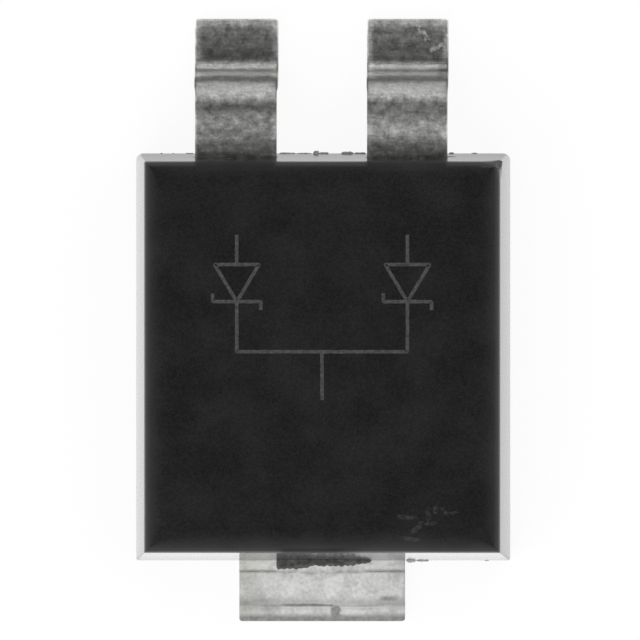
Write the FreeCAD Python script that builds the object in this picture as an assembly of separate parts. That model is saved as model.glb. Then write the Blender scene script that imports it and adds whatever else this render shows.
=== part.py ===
import FreeCAD
import Part
import math
import os

# A dual Schottky rectifier in a flat surface-mount power package, in millimetres.
# Two silicon dice are soldered side by side on one copper heat sink, which is their common
# cathode. Its bottom is bare, and it leaves the plastic at -Y as a short solder tab. On top of
# each die a formed copper lead is soldered by a pressed contact boss. Both leads leave the
# plastic at +Y, step down to the board and end in flat feet. Black moulding compound fills
# everything between, so the pieces inside touch face to face and nothing moves.
# The origin is the middle of the whole footprint, on the board. +Z is up.

# Moulded body
body_width = 4.045
body_length = 4.40
body_top = 1.12
body_standoff = 0.02
side_draft = 7.5
end_draft = 6.2
lower_draft = 5.0
lead_end_corner = 0.08
tab_end_corner = 0.03
top_corner_growth = 0.035
top_edge_round = 0.055
chip_width = 0.11
chip_length = 0.09
chip_drop = 0.26

# How far the whole lead frame sits to the right of the moulding's middle
frame_shift = -0.012

# Heat sink and its tab
heat_sink_thickness = 0.254
pad_width = 3.05
pad_length = 3.46
pad_corner = 0.15
ledge_overhang = 0.15
ledge_thickness = 0.127
plate_setback = 0.25
tab_width = 1.79
tab_reach = 0.657
tab_corner = 0.03
tab_edge_roll = 0.035
root_strip = 0.105
root_step = 0.03
lip_length = 0.158
lip_step = 0.02
step_ramp = 0.012
score_width = 0.03
score_depth = 0.012
lock_notch = 0.12

# Dice and solder
die_width = 1.35
die_length = 1.90
die_thickness = 0.20
die_solder_thickness = 0.036
die_solder_spread = 0.05
contact_solder_thickness = 0.030
contact_solder_spread = 0.05

# Formed leads
lead_pitch = 1.85
lead_thickness = 0.178
lead_reach = 1.455
foot_width = 0.90
foot_flat = 0.468
foot_corner = 0.03
foot_edge_roll = 0.035
shoulder_width = 0.88
shin_angle = 78.0
bend_radius = 0.10
clip_width = 1.15
clip_length = 1.50
clip_corner = 0.12
clip_taper = 0.20
lock_hole_radius = 0.15
lock_hole_inset = 0.36
boss_radius = 0.38
boss_depth = 0.035
boss_flare = 0.04
recess_radius = 0.30

# Resin flash on the tab, from left to right: place along X and reach out from the body
flash_thickness = 0.015
flash_edge = [(-0.50, 0.092), (-0.18, 0.084), (-0.10, 0.052), (0.12, 0.066), (0.52, 0.012)]

# Heights that follow from the stack of dice and solder
die_bottom = heat_sink_thickness + die_solder_thickness
die_top = die_bottom + die_thickness
boss_bottom = die_top + contact_solder_thickness
lead_bottom = boss_bottom + boss_depth
lead_top = lead_bottom + lead_thickness
parting_height = heat_sink_thickness

# Places along Y, measured from the middle of the footprint
body_middle = (tab_reach - lead_reach) / 2
lead_wall = body_middle + body_length / 2
tab_wall = body_middle - body_length / 2
lead_tip = lead_wall + lead_reach
tab_tip = tab_wall - tab_reach
plate_length = pad_length + 2 * ledge_overhang
plate_width = pad_width + 2 * ledge_overhang
plate_start = tab_wall + plate_setback
plate_middle = plate_start + plate_length / 2


def across(x, y, z):
    """A point of an outline drawn in the X-Y plane, at height z."""
    return FreeCAD.Vector(x, y, z)


def side_on(y, z, x):
    """A point of an outline drawn in the Y-Z plane, at place x."""
    return FreeCAD.Vector(x, y, z)


def rounded_wire(corners, place, plane):
    """Closed wire through (u, v, radius) corners, each rounded by its own radius."""
    points = [plane(u, v, place) for u, v, radius in corners]
    edges = []
    starts = []
    ends = []
    for i, (u, v, radius) in enumerate(corners):
        corner = points[i]
        back = (points[i - 1] - corner).normalize()
        ahead = (points[(i + 1) % len(points)] - corner).normalize()
        if radius <= 0:
            starts.append(corner)
            ends.append(corner)
            continue
        half_angle = back.getAngle(ahead) / 2
        middle_line = (back + ahead).normalize()
        centre = corner + middle_line * (radius / math.sin(half_angle))
        start = corner + back * (radius / math.tan(half_angle))
        end = corner + ahead * (radius / math.tan(half_angle))
        edges.append(Part.Arc(start, centre - middle_line * radius, end).toShape())
        starts.append(start)
        ends.append(end)
    for i, end in enumerate(ends):
        following = starts[(i + 1) % len(starts)]
        if (following - end).Length > 1e-7:
            edges.append(Part.LineSegment(end, following).toShape())
    return Part.Wire(Part.sortEdges(edges)[0])


def slab(corners, bottom, top):
    """Flat solid between two heights, with an outline given by (x, y, radius) corners."""
    face = Part.Face(rounded_wire(corners, bottom, across))
    return face.extrude(FreeCAD.Vector(0, 0, top - bottom))


def rectangle(width, length, middle_x, middle_y, radius):
    """Corners of a rectangle, all rounded alike."""
    left, right = middle_x - width / 2, middle_x + width / 2
    near, far = middle_y - length / 2, middle_y + length / 2
    return [(right, near, radius), (right, far, radius), (left, far, radius), (left, near, radius)]


def mirrored(half, middle_x):
    """Full outline from its right half, whose points run from one end to the other."""
    right = [(middle_x + x, y, radius) for x, y, radius in half]
    left = [(middle_x - x, y, radius) for x, y, radius in reversed(half)]
    return right + left


def body_section(height, side_inset, end_inset, corner_growth):
    """Body outline at one height. The corners at the lead end are rounder."""
    half_width = body_width / 2 - side_inset
    far = lead_wall - end_inset
    near = tab_wall + end_inset
    half = [
        (half_width, near, tab_end_corner + corner_growth),
        (half_width, far, lead_end_corner + corner_growth),
    ]
    return rounded_wire(mirrored(half, 0), height, across)


def body_envelope():
    """Outer form of the moulding: two drafted halves that meet at the parting line."""
    rise = body_top - parting_height
    fall = parting_height - body_standoff
    low_inset = fall * math.tan(math.radians(lower_draft))
    side_inset = rise * math.tan(math.radians(side_draft))
    end_inset = rise * math.tan(math.radians(end_draft))
    bottom = body_section(body_standoff, low_inset, low_inset, 0)
    parting = body_section(parting_height, 0, 0, 0)
    top = body_section(body_top, side_inset, end_inset, top_corner_growth)
    upper = Part.makeLoft([parting, top], True, True)
    rim = [e for e in upper.Edges if e.BoundBox.ZMin > body_top - top_edge_round / 2]
    upper = upper.makeFillet(top_edge_round, rim)
    lower = Part.makeLoft([bottom, parting], True, True)
    corner = FreeCAD.Vector(body_width / 2 - side_inset, lead_wall - end_inset, body_top)
    return upper.fuse(lower).cut(chip_block(corner))


def chip_block(corner):
    """Block whose flat underside breaks a chip off one top corner of the body."""
    size = 2 * (chip_width + chip_length + chip_drop)
    block = Part.makeBox(size, size, size, FreeCAD.Vector(-size / 2, -size / 2, 0))
    outward = FreeCAD.Vector(1 / chip_width, 1 / chip_length, 1 / chip_drop)
    middle = corner - FreeCAD.Vector(chip_width, chip_length, chip_drop) / 3
    upright = FreeCAD.Vector(0, 0, 1)
    block.Placement = FreeCAD.Placement(middle, FreeCAD.Rotation(upright, outward))
    return block


def tab_flash():
    """Thin resin that crept out of the parting line over the root of the tab."""
    root = tab_wall + root_strip
    edge = [(x, tab_wall - reach, 0) for x, reach in flash_edge]
    outline = edge + [(flash_edge[-1][0], root, 0), (flash_edge[0][0], root, 0)]
    return slab(outline, heat_sink_thickness, heat_sink_thickness + flash_thickness)


def tab_profile():
    """Side outline of the tab: full height at its root, then two coined steps and a rolled end."""
    flat = heat_sink_thickness - root_step
    lip_top = flat - lip_step
    strip_end = tab_wall - root_strip
    lip_start = tab_tip + lip_length
    score_floor = flat - score_depth
    return [
        (plate_start, 0, 0),
        (plate_start, heat_sink_thickness, 0),
        (strip_end, heat_sink_thickness, 0),
        (strip_end - step_ramp, flat, 0),
        (lip_start + score_width, flat, 0),
        (lip_start + score_width / 2, score_floor, 0),
        (lip_start, flat, 0),
        (lip_start - step_ramp, lip_top, 0),
        (tab_tip, lip_top, tab_edge_roll),
        (tab_tip, 0, 0),
    ]


def heat_sink(middle_x):
    """Copper plate with a coined ledge that keys it into the plastic, and its solder tab."""
    ledge_bottom = heat_sink_thickness - ledge_thickness
    pad = slab(rectangle(pad_width, pad_length, middle_x, plate_middle, pad_corner), 0, ledge_bottom)
    plate_corner = pad_corner + ledge_overhang
    plate_outline = rectangle(plate_width, plate_length, middle_x, plate_middle, plate_corner)
    plate = slab(plate_outline, ledge_bottom, heat_sink_thickness)
    tab_face = Part.Face(rounded_wire(tab_profile(), middle_x - tab_width / 2, side_on))
    tab = tab_face.extrude(FreeCAD.Vector(tab_width, 0, 0))
    neck_end = plate_start + ledge_overhang
    half_tab = [(tab_width / 2, tab_tip, tab_corner), (tab_width / 2, neck_end, 0)]
    tab = tab.common(slab(mirrored(half_tab, middle_x), 0, heat_sink_thickness))
    half_neck = [(tab_width / 2, tab_wall, 0), (tab_width / 2, neck_end, 0)]
    neck = slab(mirrored(half_neck, middle_x), 0, heat_sink_thickness)
    whole = pad.fuse([plate, neck, tab])
    notch_y = tab_wall + plate_setback / 2
    for side in (-1, 1):
        notch_x = middle_x + side * (tab_width / 2 + lock_notch / 3)
        centre = FreeCAD.Vector(notch_x, notch_y, 0)
        whole = whole.cut(Part.makeCylinder(lock_notch * 2 / 3, heat_sink_thickness, centre))
    return whole.removeSplitter()


def frustum(low_outline, high_outline, bottom, top):
    """Solid that tapers from one outline to another of the same kind."""
    low = rounded_wire(low_outline, bottom, across)
    high = rounded_wire(high_outline, top, across)
    return Part.makeLoft([low, high], True, True)


def die(middle_x):
    """One sawn silicon chip."""
    return slab(rectangle(die_width, die_length, middle_x, plate_middle, 0), die_bottom, die_top)


def die_solder(middle_x):
    """Solder under a die, spreading a little on the heat sink."""
    spread = 2 * die_solder_spread
    low = rectangle(die_width + spread, die_length + spread, middle_x, plate_middle, die_solder_spread)
    high = rectangle(die_width, die_length, middle_x, plate_middle, die_solder_spread / 5)
    return frustum(low, high, heat_sink_thickness, die_bottom)


def contact_solder(middle_x):
    """Solder between a die and the boss pressed into its lead."""
    centre = FreeCAD.Vector(middle_x, plate_middle, die_top)
    low_radius = boss_radius + contact_solder_spread
    return Part.makeCone(low_radius, boss_radius, contact_solder_thickness, centre)


def lead_profile():
    """Side outline of a lead: shoulder, shin and foot, with both faces of a bend on one centre."""
    half_turn = math.radians(shin_angle) / 2
    mitre = lead_thickness / 2 * math.tan(half_turn)
    foot_bend = lead_tip - foot_flat - bend_radius * math.tan(half_turn) - mitre
    shoulder_bend = foot_bend - lead_bottom / math.tan(2 * half_turn)
    outer_radius = bend_radius + lead_thickness
    inner_end = plate_middle - clip_length / 2
    return [
        (inner_end, lead_top, 0),
        (shoulder_bend + mitre, lead_top, outer_radius),
        (foot_bend + mitre, lead_thickness, bend_radius),
        (lead_tip, lead_thickness, foot_edge_roll),
        (lead_tip, 0, 0),
        (foot_bend - mitre, 0, outer_radius),
        (shoulder_bend - mitre, lead_bottom, bend_radius),
        (inner_end, lead_bottom, 0),
    ]


def lead_plan(middle_x):
    """Plan outline of a lead: foot, narrower shoulder and the wide clip over the die."""
    half_turn = math.radians(shin_angle) / 2
    heel = lead_tip - foot_flat - (bend_radius + lead_thickness) * math.tan(half_turn)
    clip_end = plate_middle + clip_length / 2
    half = [
        (foot_width / 2, lead_tip, foot_corner),
        (foot_width / 2, heel, bend_radius),
        (shoulder_width / 2, heel - bend_radius, bend_radius),
        (shoulder_width / 2, clip_end + clip_taper, clip_corner),
        (clip_width / 2, clip_end, clip_corner),
        (clip_width / 2, plate_middle - clip_length / 2, clip_corner),
    ]
    return mirrored(half, middle_x)


def anode_lead(middle_x):
    """Lead bent from copper strip, with a contact boss over the die and a hole that keys it."""
    width = max(foot_width, clip_width, shoulder_width)
    face = Part.Face(rounded_wire(lead_profile(), middle_x - width / 2, side_on))
    strip = face.extrude(FreeCAD.Vector(width, 0, 0))
    lead = strip.common(slab(lead_plan(middle_x), 0, lead_top))
    hole_centre = FreeCAD.Vector(middle_x, lead_wall - lock_hole_inset, lead_bottom)
    lead = lead.cut(Part.makeCylinder(lock_hole_radius, lead_thickness, hole_centre))
    boss_centre = FreeCAD.Vector(middle_x, plate_middle, boss_bottom)
    lead = lead.fuse(Part.makeCone(boss_radius, boss_radius + boss_flare, boss_depth, boss_centre))
    recess_centre = FreeCAD.Vector(middle_x, plate_middle, lead_top - boss_depth)
    recess = Part.makeCone(recess_radius, recess_radius + boss_flare, boss_depth, recess_centre)
    return lead.cut(recess).removeSplitter()


def moulded_body(pieces_inside):
    """The moulding with the room that every piece inside it takes."""
    envelope = body_envelope().fuse(tab_flash()).removeSplitter()
    return envelope.cut(pieces_inside)


def build():
    """All pieces by node name."""
    pieces = {"heat_sink": heat_sink(frame_shift)}
    for side, direction in (("left", -1), ("right", 1)):
        middle_x = frame_shift + direction * lead_pitch / 2
        pieces[side + "_anode_lead"] = anode_lead(middle_x)
        pieces[side + "_die"] = die(middle_x)
        pieces[side + "_die_solder"] = die_solder(middle_x)
        pieces[side + "_contact_solder"] = contact_solder(middle_x)
    pieces["moulded_body"] = moulded_body(list(pieces.values()))
    return pieces


os.makedirs("parts", exist_ok=True)
for node, shape in build().items():
    shape.exportStep(f"parts/{node}.step")
    print(node, "solids", len(shape.Solids), "volume", round(shape.Volume, 4), "valid", shape.isValid())
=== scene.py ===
"""A dual Schottky rectifier in a flat surface-mount power package, dressed over its CAD frame.

The pieces are the black moulded body, the pale heat sink with its solder tab, two formed leads,
the thin resin flash that crept out of the mould, a laser-marked circuit symbol and, sealed
inside, the dice with their solder. Shapes are built in millimetres and scaled to metres at the
end. +Z is up from the board and +Y points from the tab to the leads.
"""
import logging
import math
from dataclasses import dataclass
from enum import Enum
from typing import Sequence

import bmesh
import bpy
import numpy as np
from mathutils import Matrix, Vector


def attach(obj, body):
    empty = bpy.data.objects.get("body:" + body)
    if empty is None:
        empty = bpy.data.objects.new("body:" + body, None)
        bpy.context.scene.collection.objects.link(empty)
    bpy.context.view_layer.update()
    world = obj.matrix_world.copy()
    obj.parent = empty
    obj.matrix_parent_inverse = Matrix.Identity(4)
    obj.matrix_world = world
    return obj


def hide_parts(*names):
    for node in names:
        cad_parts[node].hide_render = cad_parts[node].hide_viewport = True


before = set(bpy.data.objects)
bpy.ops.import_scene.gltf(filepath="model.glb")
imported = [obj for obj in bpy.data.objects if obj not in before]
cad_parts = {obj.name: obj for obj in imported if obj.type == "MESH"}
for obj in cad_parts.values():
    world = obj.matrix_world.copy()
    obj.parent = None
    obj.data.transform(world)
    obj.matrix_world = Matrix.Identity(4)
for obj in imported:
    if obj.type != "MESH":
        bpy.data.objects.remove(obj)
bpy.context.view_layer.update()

LOG = logging.getLogger("rectifier")
MM = 0.001
ROOT = "root"
SHARP_ANGLE = math.radians(38)

# How far the whole lead frame sits to the right of the moulding's middle, in millimetres
FRAME_SHIFT = -0.012

# How far a cutting solid reaches past what it cuts, in millimetres
CLEARANCE = 0.05

# Measures that several pieces share, in millimetres: where the moulding ends at the tab and at
# the leads, the height of its parting plane and of its top, how far the tab and the feet reach
# from the middle, the pitch of the leads and the middle of the plate inside
TAB_WALL = -2.599
LEAD_WALL = 1.801
PARTING = 0.254
TOP = 1.12
TIP = 3.256
LEAD_PITCH = 1.85
PLATE_MIDDLE = -0.469

Point = tuple[float, float, float]
Colour = tuple[float, float, float]
Stops = Sequence[tuple[float, float]]
Passage = tuple[float, float]
Marks = Sequence[tuple[Point, Point, float]]
Socket = bpy.types.NodeSocket


class Side(Enum):
    """The two leads, seen from above with the leads pointing away."""

    LEFT = -1
    RIGHT = 1


class Slot(Enum):
    """Material slots of the record."""

    MOULDING = "moulding_compound"
    HEAT_SINK = "plated_heat_sink"
    LEAD = "plated_lead"
    SILICON = "silicon"
    SOLDER = "solder"


class Cut(Enum):
    """How a second solid changes a first one."""

    ADD = "UNION"
    REMOVE = "DIFFERENCE"


class NodeGraph:
    """Adds nodes to one tree and links them."""

    def __init__(self, tree: bpy.types.NodeTree) -> None:
        """Start on an empty tree.

        Args:
            tree: The node tree that every node goes into.
        """
        self.tree = tree

    def feed(self, socket: Socket, value: object) -> None:
        """Link a socket to another one, or set its own value.

        Args:
            socket: The input socket.
            value: An output socket, or a plain value.
        """
        if isinstance(value, bpy.types.NodeSocket):
            self.tree.links.new(value, socket)
        else:
            socket.default_value = value

    def add(
        self, kind: str, inputs: dict[str | int, object] | None = None, **settings: object
    ) -> bpy.types.Node:
        """Add one node.

        Args:
            kind: The node's type name.
            inputs: Sockets or values by input name or number.
            **settings: Properties of the node itself.

        Returns:
            The new node.
        """
        node = self.tree.nodes.new(kind)
        for name, value in settings.items():
            setattr(node, name, value)
        for key, value in (inputs or {}).items():
            self.feed(node.inputs[key], value)
        return node

    def maths(
        self, operation: str, first: object, second: object = 0.0, clamp: bool = False
    ) -> Socket:
        """One step of arithmetic on numbers.

        Args:
            operation: The Math node's operation.
            first: First number or socket.
            second: Second number or socket.
            clamp: Whether the result is kept from 0 to 1.

        Returns:
            The result's socket.
        """
        node = self.add("ShaderNodeMath", operation=operation, use_clamp=clamp)
        self.feed(node.inputs[0], first)
        self.feed(node.inputs[1], second)
        return node.outputs[0]

    def vector_maths(self, operation: str, first: object, second: object = None) -> Socket:
        """One step of arithmetic on vectors.

        Args:
            operation: The Vector Math node's operation.
            first: First vector or socket.
            second: Second vector or socket, where the operation has one.

        Returns:
            The result's socket, a number for lengths and dot products.
        """
        node = self.add("ShaderNodeVectorMath", operation=operation)
        self.feed(node.inputs[0], first)
        if second is not None:
            self.feed(node.inputs[1], second)
        is_number = operation in ("DOT_PRODUCT", "LENGTH", "DISTANCE")
        return node.outputs["Value" if is_number else "Vector"]

    def span(
        self,
        value: object,
        low: object,
        high: object,
        to_low: float = 0.0,
        to_high: float = 1.0,
        smooth: bool = False,
    ) -> Socket:
        """Map a range of values to another one and stop at its ends.

        Args:
            value: The number to map.
            low: Value that gives to_low.
            high: Value that gives to_high.
            to_low: Result at low.
            to_high: Result at high.
            smooth: Whether the passage eases in and out.

        Returns:
            The mapped number's socket.
        """
        inputs = {"Value": value, "From Min": low, "From Max": high, "To Min": to_low, "To Max": to_high}
        kind = "SMOOTHSTEP" if smooth else "LINEAR"
        return self.add("ShaderNodeMapRange", inputs, interpolation_type=kind).outputs["Result"]

    def noise(
        self,
        scale: float,
        vector: Socket | None = None,
        detail: float = 3.0,
        roughness: float = 0.55,
        distortion: float = 0.0,
    ) -> Socket:
        """Cloudy pattern from 0 to 1.

        Args:
            scale: Clouds per unit of the vector.
            vector: Where the pattern is read.
            detail: How many finer layers it has.
            roughness: How strong the finer layers are.
            distortion: How much it swirls.

        Returns:
            The pattern's socket.
        """
        inputs = {"Scale": scale, "Detail": detail, "Roughness": roughness, "Distortion": distortion}
        if vector is not None:
            inputs["Vector"] = vector
        return self.add("ShaderNodeTexNoise", inputs).outputs[0]

    def joined(self, x: object, y: object, z: object) -> Socket:
        """Vector of three numbers or sockets."""
        return self.add("ShaderNodeCombineXYZ", {"X": x, "Y": y, "Z": z}).outputs[0]

    def parts(self, vector: Socket) -> tuple[Socket, Socket, Socket]:
        """The three numbers of a vector."""
        outputs = self.add("ShaderNodeSeparateXYZ", {0: vector}).outputs
        return outputs[0], outputs[1], outputs[2]


class ShaderGraph(NodeGraph):
    """The node tree of one material, with coordinates in millimetres."""

    def __init__(self, name: str) -> None:
        """Make an empty material.

        Args:
            name: The material's name.
        """
        self.material = bpy.data.materials.new(name)
        self.material.use_nodes = True
        super().__init__(self.material.node_tree)
        self.tree.nodes.clear()
        self.output = self.add("ShaderNodeOutputMaterial")
        object_place = self.add("ShaderNodeTexCoord").outputs["Object"]
        self.place = self.vector_maths("MULTIPLY", object_place, (1 / MM, 1 / MM, 1 / MM))

    def attribute(self, name: str) -> Socket:
        """A number stored on the mesh."""
        return self.add("ShaderNodeAttribute", attribute_name=name).outputs["Fac"]

    def stretched(self, factors: Point) -> Socket:
        """Millimetre coordinates scaled by one factor along each axis."""
        return self.vector_maths("MULTIPLY", self.place, factors)

    def ramp(self, value: Socket, stops: Stops) -> Socket:
        """Number that follows a table of stops.

        Args:
            value: The number that is looked up.
            stops: Pairs of a position and a level, positions rising from the first to the last.

        Returns:
            The level's socket.
        """
        first, last = stops[0][0], stops[-1][0]
        top = max(level for _, level in stops)
        node = self.add("ShaderNodeValToRGB", {0: self.span(value, first, last)})
        elements = node.color_ramp.elements
        while len(elements) < len(stops):
            elements.new(0.5)
        for element, (position, level) in zip(elements, stops):
            element.position = (position - first) / (last - first)
            element.color = (level / top,) * 3 + (1.0,)
        return self.maths("MULTIPLY", node.outputs["Color"], top)

    def tint(self, low: object, high: object, share: object) -> Socket:
        """Mix two colours.

        Args:
            low: Colour at share 0.
            high: Colour at share 1.
            share: Number from 0 to 1.

        Returns:
            The colour's socket.
        """
        node = self.add("ShaderNodeMix", data_type="RGBA")
        self.feed(node.inputs[0], share)
        for number, colour in ((6, low), (7, high)):
            self.feed(node.inputs[number], (*colour, 1.0) if isinstance(colour, tuple) else colour)
        return node.outputs[2]

    def stroke(self, start: Point, end: Point, half_width: float) -> Socket:
        """Soft mask along a short straight line on the surface.

        Args:
            start: One end in millimetres.
            end: The other end.
            half_width: Distance from the line at which the mask is gone.

        Returns:
            Mask from 0 to 1.
        """
        line = Vector(end) - Vector(start)
        from_start = self.vector_maths("SUBTRACT", self.place, start)
        reach = self.vector_maths("DOT_PRODUCT", from_start, tuple(line / line.length_squared))
        held = self.maths("MULTIPLY", reach, 1.0, clamp=True)
        nearest = self.vector_maths("MULTIPLY", tuple(line), self.joined(held, held, held))
        distance = self.vector_maths("DISTANCE", from_start, nearest)
        return self.span(distance, half_width, half_width * 0.25, smooth=True)

    def strokes(self, marks: Marks) -> Socket:
        """Soft mask along several short lines.

        Args:
            marks: Both ends and the half width of each line, in millimetres.

        Returns:
            Mask from 0 to 1.
        """
        mask = 0.0
        for start, end, half_width in marks:
            mask = self.maths("MAXIMUM", self.stroke(start, end, half_width), mask)
        return mask

    def bump(self, height: Socket, depth: float, below: Socket | None = None) -> Socket:
        """Surface normal of a fine relief.

        Args:
            height: Relief from 0 to 1.
            depth: Height of the relief in millimetres.
            below: Normal of a coarser relief under it.

        Returns:
            The normal's socket.
        """
        inputs = {"Height": height, "Distance": depth * MM, "Strength": 1.0}
        if below is not None:
            inputs["Normal"] = below
        return self.add("ShaderNodeBump", inputs).outputs["Normal"]

    def surface(self, inputs: dict[str, object]) -> bpy.types.Material:
        """Finish the material with one Principled shader.

        Args:
            inputs: Sockets or values by the shader's input names.

        Returns:
            The material.
        """
        shader = self.add("ShaderNodeBsdfPrincipled", inputs)
        self.tree.links.new(shader.outputs[0], self.output.inputs["Surface"])
        return self.material


class GeometryGraph(NodeGraph):
    """The tree of one Geometry Nodes modifier, with named sizes as its inputs."""

    def __init__(self, name: str, sizes: dict[str, float]) -> None:
        """Make the tree with its inputs.

        Args:
            name: The tree's name.
            sizes: Named inputs with their values, in millimetres.
        """
        tree = bpy.data.node_groups.new(name, "GeometryNodeTree")
        tree.is_modifier = True
        super().__init__(tree)
        self.values: dict[str, object] = dict(sizes)
        tree.interface.new_socket("Geometry", in_out="INPUT", socket_type="NodeSocketGeometry")
        for size in sizes:
            tree.interface.new_socket(size, in_out="INPUT", socket_type="NodeSocketFloat")
        tree.interface.new_socket("Seed", in_out="INPUT", socket_type="NodeSocketInt")
        tree.interface.new_socket("Finish", in_out="INPUT", socket_type="NodeSocketMaterial")
        tree.interface.new_socket("Geometry", in_out="OUTPUT", socket_type="NodeSocketGeometry")
        self.given = self.add("NodeGroupInput").outputs
        self.result = self.add("NodeGroupOutput")

    def named(self, name: str) -> Socket:
        """A number stored on the geometry."""
        node = self.add("GeometryNodeInputNamedAttribute", {"Name": name}, data_type="FLOAT")
        return node.outputs[0]

    def position(self) -> Socket:
        """Where each point is."""
        return self.add("GeometryNodeInputPosition").outputs[0]

    def runs(self) -> Socket:
        """The base mesh's edges as curves."""
        return self.add("GeometryNodeMeshToCurve", {0: self.given["Geometry"]}).outputs[0]

    def even(self, curve: Socket, step: float) -> Socket:
        """A curve in even steps of some length in millimetres."""
        inputs = {"Curve": curve, "Length": step}
        return self.add("GeometryNodeResampleCurve", inputs, mode="LENGTH").outputs[0]

    def rounded(self, curve: Socket, count: int, radius: Socket) -> Socket:
        """A curve whose corners are arcs of some radius, each in a number of steps."""
        inputs = {"Curve": curve, "Count": count, "Radius": radius, "Limit Radius": True}
        return self.add("GeometryNodeFilletCurve", inputs, mode="POLY").outputs[0]

    def level(self, curve: Socket) -> Socket:
        """A curve that keeps what is swept along it level."""
        return self.add("GeometryNodeSetCurveNormal", {"Curve": curve}, mode="Z_UP").outputs[0]

    def rectangle(self, width: Socket, height: Socket) -> Socket:
        """A rectangle around the origin, as a curve."""
        inputs = {"Width": width, "Height": height}
        return self.add("GeometryNodeCurvePrimitiveQuadrilateral", inputs).outputs[0]

    def swept(self, line: Socket, section: Socket, scale: object = 1.0) -> Socket:
        """Closed solid of a section that follows a line.

        Args:
            line: The line's curve.
            section: The section's curve.
            scale: Size of the section at each point of the line.

        Returns:
            The solid's socket.
        """
        inputs = {"Curve": line, "Profile Curve": section, "Scale": scale, "Fill Caps": True}
        return self.add("GeometryNodeCurveToMesh", inputs).outputs[0]

    def placed(self, geometry: Socket, place: Socket) -> Socket:
        """Geometry with each point at a new place."""
        inputs = {"Geometry": geometry, "Position": place}
        return self.add("GeometryNodeSetPosition", inputs).outputs[0]

    def wobble(self, scale: float, detail: float = 2.0) -> Socket:
        """Noise around zero at each point, which the seed shifts.

        Args:
            scale: Clouds per millimetre.
            detail: How many finer layers it has.

        Returns:
            The noise's socket, from -0.5 to 0.5.
        """
        shift = self.joined(self.given["Seed"], 0.0, self.given["Seed"])
        cloud = self.noise(scale, self.vector_maths("ADD", self.position(), shift), detail)
        return self.maths("SUBTRACT", cloud, 0.5)

    def finish(self, geometry: Socket) -> None:
        """End the tree with real geometry and the finish.

        Args:
            geometry: The socket of the finished shape.
        """
        real = self.add("GeometryNodeRealizeInstances", {0: geometry}).outputs[0]
        inputs = {"Geometry": real, "Material": self.given["Finish"]}
        dressed = self.add("GeometryNodeSetMaterial", inputs).outputs[0]
        self.tree.links.new(dressed, self.result.inputs[0])

    def apply(self, piece: bpy.types.Object, seed: int, finish: bpy.types.Material) -> None:
        """Run the tree on an object and keep the result as its plain mesh.

        Args:
            piece: The object with the base mesh.
            seed: Seed of everything random in the tree.
            finish: Material of the result.
        """
        modifier = piece.modifiers.new(self.tree.name, "NODES")
        modifier.node_group = self.tree
        values = {**self.values, "Seed": seed, "Finish": finish}
        for item in self.tree.interface.items_tree:
            if item.in_out == "INPUT" and item.name in values:
                modifier[item.identifier] = values[item.name]
        keep_result(piece)


def keep_result(piece: bpy.types.Object) -> None:
    """Make what the modifiers give the object's own mesh, and remove them.

    Args:
        piece: The object with the modifiers.
    """
    depsgraph = bpy.context.evaluated_depsgraph_get()
    evaluated = piece.evaluated_get(depsgraph)
    mesh = bpy.data.meshes.new_from_object(
        evaluated, preserve_all_data_layers=True, depsgraph=depsgraph
    )
    piece.modifiers.clear()
    before = piece.data
    piece.data = mesh
    mesh.name = piece.name
    bpy.data.meshes.remove(before)


def new_object(name: str, data: bpy.types.ID) -> bpy.types.Object:
    """Object at the origin that shows a mesh, a lamp or a camera.

    Args:
        name: The object's name.
        data: What it shows.

    Returns:
        The object.
    """
    made = bpy.data.objects.new(name, data)
    bpy.context.scene.collection.objects.link(made)
    return made


def store(piece: bpy.types.Object, name: str, values: Sequence[float]) -> None:
    """Store a number on each point of a piece.

    Args:
        piece: The piece.
        name: Name that the numbers are read by.
        values: One number for each point.
    """
    stored = piece.data.attributes.new(name, "FLOAT", "POINT")
    stored.data.foreach_set("value", values)


def mesh_piece(
    name: str, points: np.ndarray, faces: Sequence[Sequence[int]], edges: Sequence = ()
) -> bpy.types.Object:
    """Object with a mesh from points and faces.

    Args:
        name: Name of the object and its mesh.
        points: Points in millimetres.
        faces: Point numbers of each face.
        edges: Point numbers of each loose edge.

    Returns:
        The object.
    """
    mesh = bpy.data.meshes.new(name)
    mesh.from_pydata(points.tolist(), list(edges), faces)
    mesh.update()
    return new_object(name, mesh)


def polylines(name: str, runs: Sequence[Sequence[Point]], sizes: Sequence[float]) -> bpy.types.Object:
    """Open chains of edges, each with its own size stored on its points.

    Args:
        name: Name of the object.
        runs: Points of each chain.
        sizes: Size of each chain, stored as the attribute size.

    Returns:
        The object.
    """
    points: list[Point] = []
    edges: list[tuple[int, int]] = []
    per_point: list[float] = []
    for run, size in zip(runs, sizes):
        start = len(points)
        points.extend(run)
        per_point.extend([size] * len(run))
        edges.extend((start + i, start + i + 1) for i in range(len(run) - 1))
    piece = mesh_piece(name, np.array(points), [], edges)
    store(piece, "size", per_point)
    return piece


def lofted(name: str, rings: Sequence[np.ndarray]) -> bpy.types.Object:
    """Closed solid through rings of points, from the lowest to the highest.

    Args:
        name: Name of the object.
        rings: Rings with the same number of points, each anticlockwise seen from above.

    Returns:
        The object.
    """
    count = len(rings[0])
    faces: list[list[int]] = [list(range(count))[::-1]]
    for level in range(len(rings) - 1):
        low, high = level * count, (level + 1) * count
        for i in range(count):
            after = (i + 1) % count
            faces.append([low + i, low + after, high + after, high + i])
    last = (len(rings) - 1) * count
    faces.append(list(range(last, last + count)))
    return mesh_piece(name, np.concatenate(rings), faces)


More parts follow.
